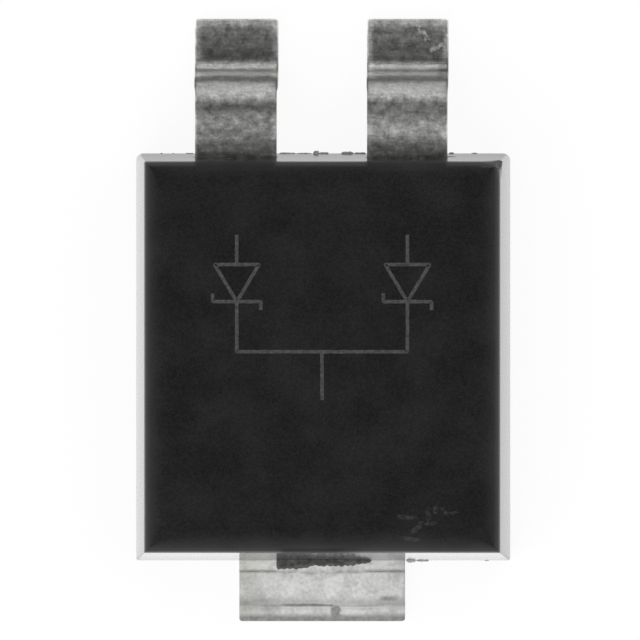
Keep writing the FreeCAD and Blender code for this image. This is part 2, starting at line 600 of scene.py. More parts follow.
def closed_sheet(
    name: str, x: np.ndarray, y: np.ndarray, top: np.ndarray, bottom: float
) -> bpy.types.Object:
    """Solid with a free-form top, upright sides and a flat bottom.

    Args:
        name: Name of the object.
        x: Places along X, as a grid.
        y: Places along Y, as a grid.
        top: Height of the top at each place.
        bottom: Height of the flat bottom.

    Returns:
        The object.
    """
    rows, columns = x.shape
    number = np.arange(rows * columns).reshape(rows, columns)
    quads = np.stack([number[:-1, :-1], number[1:, :-1], number[1:, 1:], number[:-1, 1:]], axis=-1)
    faces = quads.reshape(-1, 4).tolist()
    outline = np.concatenate([number[:, 0], number[-1, 1:], number[-2::-1, -1], number[0, -2:0:-1]])
    points = np.stack([x, y, top], axis=-1).reshape(-1, 3)
    base = points[outline].copy()
    base[:, 2] = bottom
    first = rows * columns
    count = len(outline)
    for i in range(count):
        after = (i + 1) % count
        faces.append([first + i, first + after, int(outline[after]), int(outline[i])])
    faces.append(list(range(first, first + count))[::-1])
    return mesh_piece(name, np.concatenate([points, base]), faces)


def rounded_rectangle(
    half_width: float, near: float, far: float, near_radius: float, far_radius: float, height: float
) -> np.ndarray:
    """Ring of points on a rectangle with round corners, anticlockwise from above.

    Args:
        half_width: Half the width along X.
        near: Lower end along Y.
        far: Upper end along Y.
        near_radius: Radius of the two corners at the lower end.
        far_radius: Radius of the two corners at the upper end.
        height: Height of the ring.

    Returns:
        Points, as many whatever the sizes are.
    """
    arc_steps, side_steps = 10, 24
    corners = [
        (half_width - near_radius, near + near_radius, near_radius, -90),
        (half_width - far_radius, far - far_radius, far_radius, 0),
        (far_radius - half_width, far - far_radius, far_radius, 90),
        (near_radius - half_width, near + near_radius, near_radius, 180),
    ]
    arcs = []
    for x, y, radius, start in corners:
        turn = np.radians(start + np.linspace(0, 90, arc_steps + 1))
        arcs.append(np.stack([x + radius * np.cos(turn), y + radius * np.sin(turn)], axis=-1))
    ring = []
    for i, arc in enumerate(arcs):
        following = arcs[(i + 1) % 4][0]
        share = np.linspace(0, 1, side_steps + 1)[1:-1, None]
        ring.extend([arc, arc[-1] * (1 - share) + following * share])
    flat = np.concatenate(ring)
    return np.column_stack([flat, np.full(len(flat), height)])


def cone(name: str, middle: Point, low_radius: float, high_radius: float, height: float) -> bpy.types.Object:
    """Upright round solid that stands on a point.

    Args:
        name: Name of the object.
        middle: Middle of its bottom.
        low_radius: Radius at the bottom.
        high_radius: Radius at the top.
        height: Its height.

    Returns:
        The object.
    """
    steps = 64
    turn = np.linspace(0, 2 * math.pi, steps, endpoint=False)
    circle = np.stack([np.cos(turn), np.sin(turn), np.zeros_like(turn)], axis=-1)
    low = circle * low_radius + np.array(middle)
    high = circle * high_radius + np.array(middle) + np.array([0, 0, height])
    return lofted(name, [low, high])


def combine(piece: bpy.types.Object, tool: bpy.types.Object, cut: Cut, keep_tool: bool = False) -> None:
    """Add a second solid to a piece or take it away.

    Args:
        piece: The solid that changes.
        tool: The second solid.
        cut: Whether it is added or removed.
        keep_tool: Whether the second solid stays in the scene.
    """
    modifier = piece.modifiers.new("combine", "BOOLEAN")
    modifier.object = tool
    modifier.operation = cut.value
    modifier.solver = "MANIFOLD"
    keep_result(piece)
    if not keep_tool:
        bpy.data.objects.remove(tool)


def falling_edge(distance: np.ndarray, radius: float) -> np.ndarray:
    """How far a rolled edge has dropped at some distance from it.

    Args:
        distance: Distance from the edge, 0 or more.
        radius: Radius of the roll.

    Returns:
        Drop, from the radius at the edge to 0.
    """
    share = np.clip(1 - distance / radius, 0, 1)
    return radius * (1 - np.sqrt(1 - share**2))


def bell(distance: np.ndarray, width: float | np.ndarray) -> np.ndarray:
    """1 at no distance, and an eased fall to 0 over about two widths."""
    return np.exp(-((distance / width) ** 2))


def smooth_step(low: float, high: float, value: np.ndarray) -> np.ndarray:
    """0 at low and 1 at high, with an eased passage between."""
    share = np.clip((value - low) / (high - low), 0, 1)
    return share * share * (3 - 2 * share)


def plateau(value: np.ndarray, rise: Passage, fall: Passage) -> np.ndarray:
    """1 between a rise and a fall, and 0 beyond them."""
    return smooth_step(*rise, value) * smooth_step(*fall, value)


def waves(x: np.ndarray, y: np.ndarray, length: float, seed: int) -> np.ndarray:
    """Smooth random relief between about -1 and 1.

    Args:
        x: Places along X.
        y: Places along Y.
        length: Length of the shortest wave in millimetres.
        seed: Seed of the directions and phases.

    Returns:
        The relief at each place.
    """
    random = np.random.default_rng(seed)
    total = np.zeros_like(x)
    count = 14
    for _ in range(count):
        turn, phase = random.uniform(0, 2 * math.pi, 2)
        pace = 2 * math.pi / (length * random.uniform(1, 3))
        total += np.sin(pace * (x * math.cos(turn) + y * math.sin(turn)) + phase)
    return total / math.sqrt(count)


def settle(piece: bpy.types.Object, slot: Slot, *nodes: str) -> None:
    """Scale a finished piece to metres, shade it and hand it to the frame.

    Args:
        piece: The piece, in millimetres.
        slot: The record's slot that its finish comes from; not used.
        *nodes: CAD nodes that it stands for.
    """
    mesh = piece.data
    mesh.transform(Matrix.Scale(MM, 4))
    mesh.shade_smooth()
    mesh.set_sharp_from_angle(angle=SHARP_ANGLE)
    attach(piece, ROOT)
    if nodes:
        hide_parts(*nodes)
    LOG.info("%s: %d points, %d faces", piece.name, len(mesh.vertices), len(mesh.polygons))


@dataclass(frozen=True)
class MouldingFinish:
    """Black epoxy with the fine grain of its mould and a few pale scuffs."""

    dark: Colour = (0.0002, 0.0001, 0.0004)
    light: Colour = (0.0118, 0.0103, 0.0117)
    scuffed: Colour = (0.040, 0.038, 0.039)
    grain: float = 38.0
    clouds: float = 1.7
    specks: float = 17.0
    cloud_share: float = 0.62
    grain_share: float = 0.38
    speck_share: float = 0.35
    scuff_share: float = 0.8
    grain_depth: float = 0.0009
    swell_depth: float = 0.0030
    scuffs: Marks = (
        ((0.83, -2.12, TOP), (1.00, -2.13, TOP), 0.034),
        ((1.14, -2.04, TOP), (1.15, -2.14, TOP), 0.040),
        ((1.22, -2.01, TOP), (1.22, -2.07, TOP), 0.032),
        ((1.30, -2.04, TOP), (1.35, -2.09, TOP), 0.028),
        ((1.35, -2.09, TOP), (1.46, -2.07, TOP), 0.024),
        ((1.06, -2.19, TOP), (1.21, -2.19, TOP), 0.030),
        ((0.97, -2.28, TOP), (1.07, -2.21, TOP), 0.036),
        ((0.86, -2.35, TOP), (1.04, -2.37, TOP), 0.034),
    )
    tab_stain: Passage = (-0.50, 0.46)
    tab_stain_fades: Passage = (0.10, 0.30)
    tab_stain_share: float = 0.75
    tab_rim: float = -2.47
    lead_stain_share: float = 0.85
    lead_rim: float = 1.60
    lead_pitch: float = LEAD_PITCH
    lead_half_width: float = 0.44
    stain_foot: float = 0.96
    clean_coat: float = 1.0
    stained_coat: float = 0.08

    def material(self) -> bpy.types.Material:
        """Make the material of the moulded skin.

        Returns:
            The material.
        """
        graph = ShaderGraph("moulding_compound")
        clouds = graph.noise(self.clouds, graph.place, detail=4.0)
        grain = graph.noise(self.grain, graph.place, detail=2.0)
        specks = graph.span(graph.noise(self.specks, graph.place, detail=1.0), 0.66, 0.80)
        level = graph.span(clouds, 0.38, 0.62, 0.0, self.cloud_share)
        level = graph.maths("ADD", level, graph.span(grain, 0.3, 0.7, 0.0, self.grain_share))
        specks = graph.maths("MULTIPLY", specks, self.speck_share)
        level = graph.maths("ADD", level, specks, clamp=True)
        colour = graph.tint(self.dark, self.light, level)
        broken = graph.span(graph.noise(30.0, graph.place, detail=2.0), 0.36, 0.66)
        scuff = graph.maths("MULTIPLY", graph.strokes(self.scuffs), broken)
        colour = graph.tint(colour, self.scuffed, graph.maths("MULTIPLY", scuff, self.scuff_share))
        stain = self.stain(graph)
        roughness = graph.span(grain, 0.2, 0.8, 0.30, 0.44)
        roughness = graph.maths("ADD", roughness, graph.maths("MULTIPLY", scuff, 0.3))
        roughness = graph.maths("ADD", roughness, graph.maths("MULTIPLY", stain, 0.35))
        relief = graph.bump(graph.noise(7.0, graph.place, detail=2.0), self.swell_depth)
        relief = graph.bump(grain, self.grain_depth, relief)
        return graph.surface({
            "Base Color": colour,
            "Roughness": roughness,
            "Normal": relief,
            "IOR": 1.42,
            "Coat Weight": graph.span(stain, 0.0, 1.0, self.clean_coat, self.stained_coat),
            "Coat Roughness": 0.09,
            "Coat IOR": 1.32,
        })

    def stain(self, graph: ShaderGraph) -> Socket:
        """Mask of the dull patches on the rim, over the flash on the tab and over both leads.

        Args:
            graph: The moulding's graph.

        Returns:
            Mask from 0 to 1.
        """
        x, y, z = graph.parts(graph.place)
        start, end = self.tab_stain
        left_fade, right_fade = self.tab_stain_fades
        from_left = graph.span(x, start, start + left_fade)
        from_right = graph.span(x, end, end - right_fade)
        at_tab_end = graph.span(y, self.tab_rim + 0.02, self.tab_rim, 0.0, self.tab_stain_share)
        over_tab = graph.maths("MULTIPLY", graph.maths("MULTIPLY", from_left, from_right), at_tab_end)
        from_middle = graph.maths("ABSOLUTE", graph.maths("SUBTRACT", x, FRAME_SHIFT))
        from_lead = graph.maths("ABSOLUTE", graph.maths("SUBTRACT", from_middle, self.lead_pitch / 2))
        over_lead = graph.span(from_lead, self.lead_half_width + 0.02, self.lead_half_width - 0.03)
        at_lead_end = graph.span(y, self.lead_rim, self.lead_rim + 0.07, 0.0, self.lead_stain_share)
        over_lead = graph.maths("MULTIPLY", over_lead, at_lead_end)
        stain = graph.maths("MAXIMUM", over_tab, over_lead)
        return graph.maths("MULTIPLY", stain, graph.span(z, self.stain_foot, self.stain_foot + 0.08))


@dataclass(frozen=True)
class BrokenResinFinish:
    """Freshly broken resin, paler and rougher than the moulded skin."""

    dark: Colour = (0.050, 0.049, 0.050)
    light: Colour = (0.16, 0.155, 0.155)

    def material(self) -> bpy.types.Material:
        """Make the material of the chipped corner.

        Returns:
            The material.
        """
        graph = ShaderGraph("broken_resin")
        grains = graph.noise(24.0, graph.place, detail=4.0, roughness=0.7)
        colour = graph.tint(self.dark, self.light, graph.span(grains, 0.3, 0.7))
        relief = graph.bump(grains, 0.010)
        return graph.surface({"Base Color": colour, "Roughness": 0.82, "Normal": relief})


@dataclass(frozen=True)
class FlashFinish:
    """Thin squeezed-out resin, dark brown-grey and a little glossy."""

    name: str
    dark: Colour = (0.040, 0.038, 0.039)
    light: Colour = (0.140, 0.136, 0.135)

    def material(self) -> bpy.types.Material:
        """Make the material of the resin flash.

        Returns:
            The material.
        """
        graph = ShaderGraph(self.name)
        flow = graph.noise(11.0, graph.stretched((1.0, 2.2, 1.0)), detail=4.0, distortion=0.6)
        colour = graph.tint(self.dark, self.light, graph.span(flow, 0.32, 0.68))
        roughness = graph.span(flow, 0.3, 0.7, 0.38, 0.60)
        relief = graph.bump(graph.noise(30.0, graph.place), 0.003)
        return graph.surface({"Base Color": colour, "Roughness": roughness, "Normal": relief, "IOR": 1.5})


@dataclass(frozen=True)
class LaserFinish:
    """Resin that a marking laser has roughened to a dim grey."""

    dark: Colour = (0.036, 0.036, 0.036)
    light: Colour = (0.082, 0.082, 0.080)

    def material(self) -> bpy.types.Material:
        """Make the material of the marked symbol.

        Returns:
            The material.
        """
        graph = ShaderGraph("laser_marked_resin")
        burn = graph.noise(26.0, graph.place, detail=3.0)
        colour = graph.tint(self.dark, self.light, graph.span(burn, 0.32, 0.66))
        relief = graph.bump(burn, 0.004)
        return graph.surface({"Base Color": colour, "Roughness": 0.85, "Normal": relief})


@dataclass(frozen=True)
class LeadFinish:
    """Tin plate on a formed lead: grey and blotched, with painted reflections and shade along it and painted
    highlights and shade at its edges.
    """

    name: str
    # Painted reflections and shade: a level of the plate for each distance from the tip
    painted_light_levels: Stops
    scratches: Marks = ()
    half_width: float = 0.445
    shaded_side: float = 0.05
    rim_shade: float = 0.42
    shade: Colour = (0.96, 0.97, 0.94)
    blotches: float = 11.0
    grain: float = 34.0
    drawing: tuple[float, float] = (4.0, 26.0)
    scratch_gain: float = 0.24
    edge_band: Passage = (0.085, 0.015)
    shaded_rim: Passage = (0.026, 0.008)
    shaded_rim_from: Passage = (0.41, 0.50)
    bends_from: Passage = (0.44, 0.49)
    bends_to: Passage = (1.06, 1.0)
    shaded_side_from: Passage = (0.29, 0.39)
    # Painted highlight and shade of the rolled edges along the lead: above 1 lighter, below 1 darker
    edges: Stops = (
        (0.0, 1.90), (0.41, 2.50), (0.48, 1.10), (0.98, 1.05), (1.10, 0.85), (1.26, 0.85), (1.36, 1.25),
        (1.85, 1.25),
    )

    def material(self, middle: float) -> bpy.types.Material:
        """Make the material of one lead.

        Args:
            middle: Place of the lead along X, in millimetres.

        Returns:
            The material.
        """
        graph = ShaderGraph(self.name)
        along = graph.attribute("along")
        across = graph.parts(graph.place)[0]
        painted_light_level = graph.ramp(along, self.painted_light_levels)
        blotch = graph.noise(self.blotches, graph.place, detail=4.0, roughness=0.6)
        drawn = graph.vector_maths("MULTIPLY", graph.joined(across, along, 0.0), (*self.drawing, 1.0))
        streak = graph.noise(1.0, drawn, detail=3.0)
        fine = graph.noise(self.grain, graph.place, detail=2.0)
        mottle = graph.span(blotch, 0.30, 0.70, 0.80, 1.20)
        mottle = graph.maths("MULTIPLY", mottle, graph.span(streak, 0.3, 0.7, 0.86, 1.14))
        mottle = graph.maths("MULTIPLY", mottle, graph.span(fine, 0.25, 0.75, 0.80, 1.20))
        level = graph.maths("MULTIPLY", painted_light_level, mottle)
        level = graph.maths("MULTIPLY", level, self.edge_light_and_shade(graph, middle, across, along))
        broken = graph.span(graph.noise(22.0, graph.place, detail=3.0), 0.38, 0.62)
        scratch = graph.maths("MULTIPLY", graph.strokes(self.scratches), broken)
        gain = graph.maths("MULTIPLY", scratch, self.scratch_gain)
        level = graph.maths("ADD", level, gain, clamp=True)
        colour = graph.tint((0.0, 0.0, 0.0), self.shade, level)
        roughness = graph.span(blotch, 0.25, 0.75, 0.26, 0.46)
        roughness = graph.maths("ADD", roughness, graph.maths("MULTIPLY", scratch, 0.25))
        relief = graph.bump(blotch, 0.007)
        relief = graph.bump(streak, 0.0035, relief)
        return graph.surface({
            "Base Color": colour,
            "Metallic": 1.0,
            "Roughness": roughness,
            "Normal": relief,
        })

    def edge_light_and_shade(self, graph: ShaderGraph, middle: float, across: Socket, along: Socket) -> Socket:
        """Factor for the plate's level that paints highlights and shade along the edges and shade on one
        side of the bends.

        Args:
            graph: The lead's graph.
            middle: Place of the lead along X, in millimetres.
            across: Place along X.
            along: Distance from the tip of the foot.

        Returns:
            Factor of 1 on the flats, more where the edges get a painted highlight and less where they get
            painted shade.
        """
        offset = graph.maths("SUBTRACT", across, middle)
        side = graph.maths("ABSOLUTE", offset)
        inner, outer = (self.half_width - inset for inset in self.edge_band)
        rim = graph.span(side, inner, outer, smooth=True)
        patch = graph.noise(7.0, graph.joined(across, along, 0.0), detail=2.0)
        kept = graph.ramp(along, self.edges)
        kept = graph.maths("MULTIPLY", kept, graph.span(patch, 0.35, 0.65, 0.8, 1.2))
        # Painted shade on the outermost rim from the bends on
        rim_shaded = graph.span(side, *(self.half_width - inset for inset in self.shaded_rim))
        loss = graph.span(along, *self.shaded_rim_from, 0.0, self.rim_shade)
        rim_shaded = graph.maths("MULTIPLY", rim_shaded, loss)
        kept = graph.maths("MULTIPLY", kept, graph.maths("SUBTRACT", 1.0, rim_shaded))
        edges = graph.maths("MULTIPLY", rim, graph.maths("SUBTRACT", 1.0, kept))
        after_foot, before_shoulder = graph.span(along, *self.bends_from), graph.span(along, *self.bends_to)
        bends = graph.maths("MULTIPLY", after_foot, before_shoulder)
        # Painted shade on one side of the bends
        dull = graph.maths("MULTIPLY", bends, graph.span(offset, *self.shaded_side_from, smooth=True))
        dull = graph.maths("MULTIPLY", dull, self.shaded_side)
        return graph.maths(
            "MULTIPLY", graph.maths("SUBTRACT", 1.0, edges), graph.maths("SUBTRACT", 1.0, dull)
        )


@dataclass(frozen=True)
class HeatSinkFinish:
    """Matt tin plate: pale and frosty, with dirt and painted shade at its step and groove and painted shade
    on its rolled end.
    """

    bright: Colour = (0.99, 1.00, 0.98)
    dull: Colour = (0.64, 0.65, 0.63)
    warm: Colour = (0.82, 0.80, 0.68)
    # Colour of the dirt and of the painted shade at the step, in the score and the nick and on the rolled
    # end
    grime_and_shade: Colour = (0.13, 0.125, 0.12)
    frost: float = 5.5
    grain: float = 26.0
    frost_share: float = 0.62
    grain_share: float = 0.38
    middle_gain: float = 0.16
    root_painted_light: float = 0.18
    middle: Passage = (0.55, 0.20)
    root: Passage = (-2.70, -2.66)
    warm_end: Passage = (-0.62, -0.86)

    def material(self) -> bpy.types.Material:
        """Make the material of the heat sink.

        Returns:
            The material.
        """
        graph = ShaderGraph("plated_heat_sink")
        frost = graph.noise(self.frost, graph.place, detail=5.0, roughness=0.70)
        grain = graph.noise(self.grain, graph.place, detail=3.0)
        mixed = graph.maths(
            "ADD",
            graph.span(frost, 0.40, 0.58, 0.0, self.frost_share),
            graph.span(grain, 0.38, 0.62, 0.0, self.grain_share),
        )
        across, length, _ = graph.parts(graph.place)
        from_middle = graph.maths("ABSOLUTE", across)
        # Lighter towards the middle, and painted light on the strip next to the wall that offsets the body's
        # shade there
        lighter_middle_and_root = graph.span(from_middle, *self.middle, 0.0, self.middle_gain, smooth=True)
        lighter_middle_and_root = graph.maths("MAXIMUM", lighter_middle_and_root, graph.span(length, *self.root, 0.0, self.root_painted_light))
        colour = graph.tint(self.dull, self.bright, graph.maths("ADD", mixed, lighter_middle_and_root, clamp=True))
        left_end = graph.span(across, *self.warm_end)
        warm_share = graph.maths("MULTIPLY", left_end, graph.span(frost, 0.42, 0.6, 0.1, 0.6))
        colour = graph.tint(colour, self.warm, warm_share)
        # Dirt and painted shade stored on the mesh
        dirt_and_shade = graph.attribute("grime_and_shade")
        patchy = graph.span(graph.noise(22.0, graph.place, detail=3.0), 0.3, 0.62, 0.75, 1.0)
        dirt_and_shade = graph.maths("MULTIPLY", dirt_and_shade, patchy, clamp=True)
        colour = graph.tint(colour, self.grime_and_shade, dirt_and_shade)
        roughness = graph.span(frost, 0.3, 0.7, 0.58, 0.80)
        relief = graph.bump(frost, 0.006)
        relief = graph.bump(grain, 0.003, relief)
        return graph.surface({
            "Base Color": colour,
            "Metallic": 0.10,
            "Roughness": roughness,
            "Normal": relief,
        })


@dataclass(frozen=True)
class SiliconFinish:
    """Grey silicon with fine saw lines on its cut edges."""

    dark: Colour = (0.20, 0.21, 0.23)
    light: Colour = (0.36, 0.37, 0.40)

    def material(self) -> bpy.types.Material:
        """Make the material of the dice.

        Returns:
            The material.
        """
        graph = ShaderGraph("silicon")
        saw = graph.noise(1.0, graph.stretched((6.0, 6.0, 120.0)), detail=2.0)
        colour = graph.tint(self.dark, self.light, graph.span(saw, 0.35, 0.65))
        return graph.surface({
            "Base Color": colour,
            "Metallic": 0.8,
            "Roughness": graph.span(saw, 0.3, 0.7, 0.22, 0.36),
            "Normal": graph.bump(saw, 0.001),
        })


@dataclass(frozen=True)
class SolderFinish:
    """Soft solder that froze with a satin, slightly grainy skin."""

    dark: Colour = (0.42, 0.42, 0.42)
    light: Colour = (0.62, 0.62, 0.61)

    def material(self) -> bpy.types.Material:
        """Make the material of the solder.

        Returns:
            The material.
        """
        graph = ShaderGraph("solder")
        grain = graph.noise(12.0, graph.place, detail=4.0)
        colour = graph.tint(self.dark, self.light, graph.span(grain, 0.3, 0.7))
        return graph.surface({
            "Base Color": colour,
            "Metallic": 1.0,
            "Roughness": graph.span(grain, 0.3, 0.7, 0.34, 0.52),
            "Normal": graph.bump(grain, 0.003),
        })


@dataclass(frozen=True)
class WallForm:
    """How one wall of the moulding leans, in degrees, and how far it swells or, below 0, is hollow."""

    draft: float
    swell: float

    @property
    def lean(self) -> float:
        """The wall's mean lean in radians."""
        return math.radians(self.draft)

    @property
    def top_lean(self) -> float:
        """The wall's lean where it meets the top edge, in radians."""
        return math.radians(self.draft * (1 + self.swell))


@dataclass
class MouldedBody:
    """The black moulding: two drafted halves, a soft top rim and one chipped corner."""

    width: float = 4.045
    lead_wall: float = LEAD_WALL
    tab_wall: float = TAB_WALL
    standoff: float = 0.02
    parting: float = PARTING
    top: float = TOP
    sides: WallForm = WallForm(draft=7.5, swell=0.15)
    ends: WallForm = WallForm(draft=6.26, swell=-0.18)
    lower_draft: float = 5.0
    lead_end_corner: float = 0.08
    tab_end_corner: float = 0.03
    lead_end_growth: float = -0.065
    tab_end_growth: float = -0.015
    rim_round: float = 0.058
    rim_shoulder: float = 0.20
    rim_crown: float = 1.0
    crown_angles: Passage = (9.0, 16.0)
    crown_corner: float = 1.6
    bottom_round: float = 0.016
    chip_width: float = 0.12
    chip_length: float = 0.115
    chip_drop: float = 0.18
    chip_relief: float = 0.006
    chip_waves: tuple[float, float] = (0.09, 0.03)
    sharpest_corner: float = 0.004
    bottom_margin: float = 0.06
    top_margin: float = 0.03
    wall_steps: int = 14
    rim_steps: int = 40
    profile_steps: int = 240

    def ring(self, height: float, side_inset: float, end_inset: float, trim: float) -> np.ndarray:
        """Outline of the body at one height.

        Args:
            height: Height above the board.
            side_inset: How far the sides lie inside the parting line.
            end_inset: How far the ends lie inside it.
            trim: How far an edge's rounding has moved the outline inwards here.

        Returns:
            Ring of points.
        """
        share = max(0.0, (height - self.parting) / (self.top - self.parting))
        pillow = self.crown_corner * max(trim - self.rim_round, 0.0)
        tab_corner = self.tab_end_corner + self.tab_end_growth * share - trim
        lead_corner = self.lead_end_corner + self.lead_end_growth * share - trim
        return rounded_rectangle(
            self.width / 2 - side_inset,
            self.tab_wall + end_inset,
            self.lead_wall - end_inset,
            max(tab_corner, self.sharpest_corner) + pillow,
            max(lead_corner, self.sharpest_corner) + pillow,
            height,
        )

    def wall_inset(self, depth: float, wall: WallForm) -> float:
        """Inset of the drafted wall, which bows a little, at some depth below the top.

        Args:
            depth: Depth below the top.
            wall: How the wall leans and bows.

        Returns:
            Inset from the parting line.
        """
        rise = self.top - self.parting
        share = 1 - depth / rise
        return rise * math.tan(wall.lean) * (share - wall.swell * share * (1 - share))

    def rim_profile(self, wall: WallForm) -> tuple[np.ndarray, np.ndarray]:
        """Section of the top edge: tight at its middle, wider towards the wall and the top face.

        Args:
            wall: How the wall under the edge leans and bows.

        Returns:
            Distances outward and downward from the place where the top face ends.
        """
        steep = math.pi / 2 - wall.top_lean
        tilt = np.linspace(0, steep, self.profile_steps)
        crowned = 1 - smooth_step(*np.radians(self.crown_angles), tilt)
        radius = self.rim_round + (self.rim_crown - self.rim_round) * crowned
        radius = radius + (self.rim_shoulder - self.rim_round) * (tilt / steep) ** 6
        outward = np.cumsum(radius * np.cos(tilt)) * tilt[1]
        downward = np.cumsum(radius * np.sin(tilt)) * tilt[1]
        return outward, downward

    def rim_inset(self, depth: float, wall: WallForm) -> tuple[float, float]:
        """Inset of the upper half at some depth below its top.

        Args:
            depth: Depth below the top, 0 or more.
            wall: How the wall leans and bows.

        Returns:
            Inset from the parting line, and how much of it the round edge adds.
        """
        outward, downward = self.rim_profile(wall)
        plain = self.wall_inset(depth, wall)
        if depth >= downward[-1]:
            return plain, 0.0
        inset = self.wall_inset(downward[-1], wall) + outward[-1]
        inset -= float(np.interp(depth, downward, outward))
        return inset, inset - plain

    def rings(self) -> list[np.ndarray]:
        """All outlines from the bottom to the top.

        Returns:
            Rings of points, lowest first.
        """
        fall = self.parting - self.standoff
        low = fall * math.tan(math.radians(self.lower_draft))
        flat = low + self.bottom_margin
        rings = [self.ring(self.standoff, flat, flat, self.bottom_margin)]
        for turn in np.radians(np.linspace(-90, 0, 5)):
            inset = low + self.bottom_round * (1 - math.cos(turn))
            height = self.standoff + self.bottom_round * (1 + math.sin(turn))
            rings.append(self.ring(height, inset, inset, 0.0))
        rings.append(self.ring(self.parting, 0.0, 0.0, 0.0))
        rim_depth = max(self.rim_profile(wall)[1][-1] for wall in (self.sides, self.ends))
        depths = list(np.linspace(self.top - self.parting - 0.03, rim_depth, self.wall_steps))
        depths += [rim_depth * share**2.4 for share in np.linspace(0.98, 0, self.rim_steps)]
        for depth in depths:
            side_inset, side_trim = self.rim_inset(depth, self.sides)
            end_inset, end_trim = self.rim_inset(depth, self.ends)
            rings.append(self.ring(self.top - depth, side_inset, end_inset, min(side_trim, end_trim)))
        side_inset, side_trim = self.rim_inset(0.0, self.sides)
        end_inset, end_trim = self.rim_inset(0.0, self.ends)
        margin = self.top_margin
        rings.append(self.ring(self.top, side_inset + margin, end_inset + margin, min(side_trim, end_trim)))
        return rings

    def chip(self, piece: bpy.types.Object) -> None:
        """Break the corner at the right of the lead end and mark the broken face.

        Args:
            piece: The body, in millimetres.
        """
        corner = Vector((
            self.width / 2 - (self.top - self.parting) * math.tan(self.sides.lean),
            self.lead_wall - (self.top - self.parting) * math.tan(self.ends.lean),
            self.top,
        ))
        reach = Vector((self.chip_width, self.chip_length, self.chip_drop))
        outward = Vector((1 / reach.x, 1 / reach.y, 1 / reach.z))
        places = np.linspace(-self.chip_drop * 1.5, self.chip_drop * 1.5, 90)
        x, y = np.meshgrid(places, places, indexing="ij")
        wide, fine = self.chip_waves
        relief = self.chip_relief * (waves(x, y, wide, 31) + 0.5 * waves(x, y, fine, 32))
        tool = closed_sheet("broken_corner", x, y, relief, -self.chip_drop * 2)
        for material in piece.data.materials:
            tool.data.materials.append(material)
        tool.data.polygons.foreach_set("material_index", [1] * len(tool.data.polygons))
        inward = (-outward).to_track_quat("Z", "Y").to_matrix().to_4x4()
        tool.data.transform(Matrix.Translation(corner - reach / 3) @ inward)
        combine(piece, tool, Cut.REMOVE)

    def build(self, others: Sequence[bpy.types.Object]) -> None:
        """Build the body with the room that the pieces inside it take.

        Args:
            others: The pieces inside, in millimetres.
        """
        piece = lofted("moulded_body_shell", self.rings())
        piece.data.materials.append(MouldingFinish().material())
        piece.data.materials.append(BrokenResinFinish().material())
        self.chip(piece)
        for other in others:
            combine(piece, other, Cut.REMOVE, keep_tool=True)
        settle(piece, Slot.MOULDING, "moulded_body")


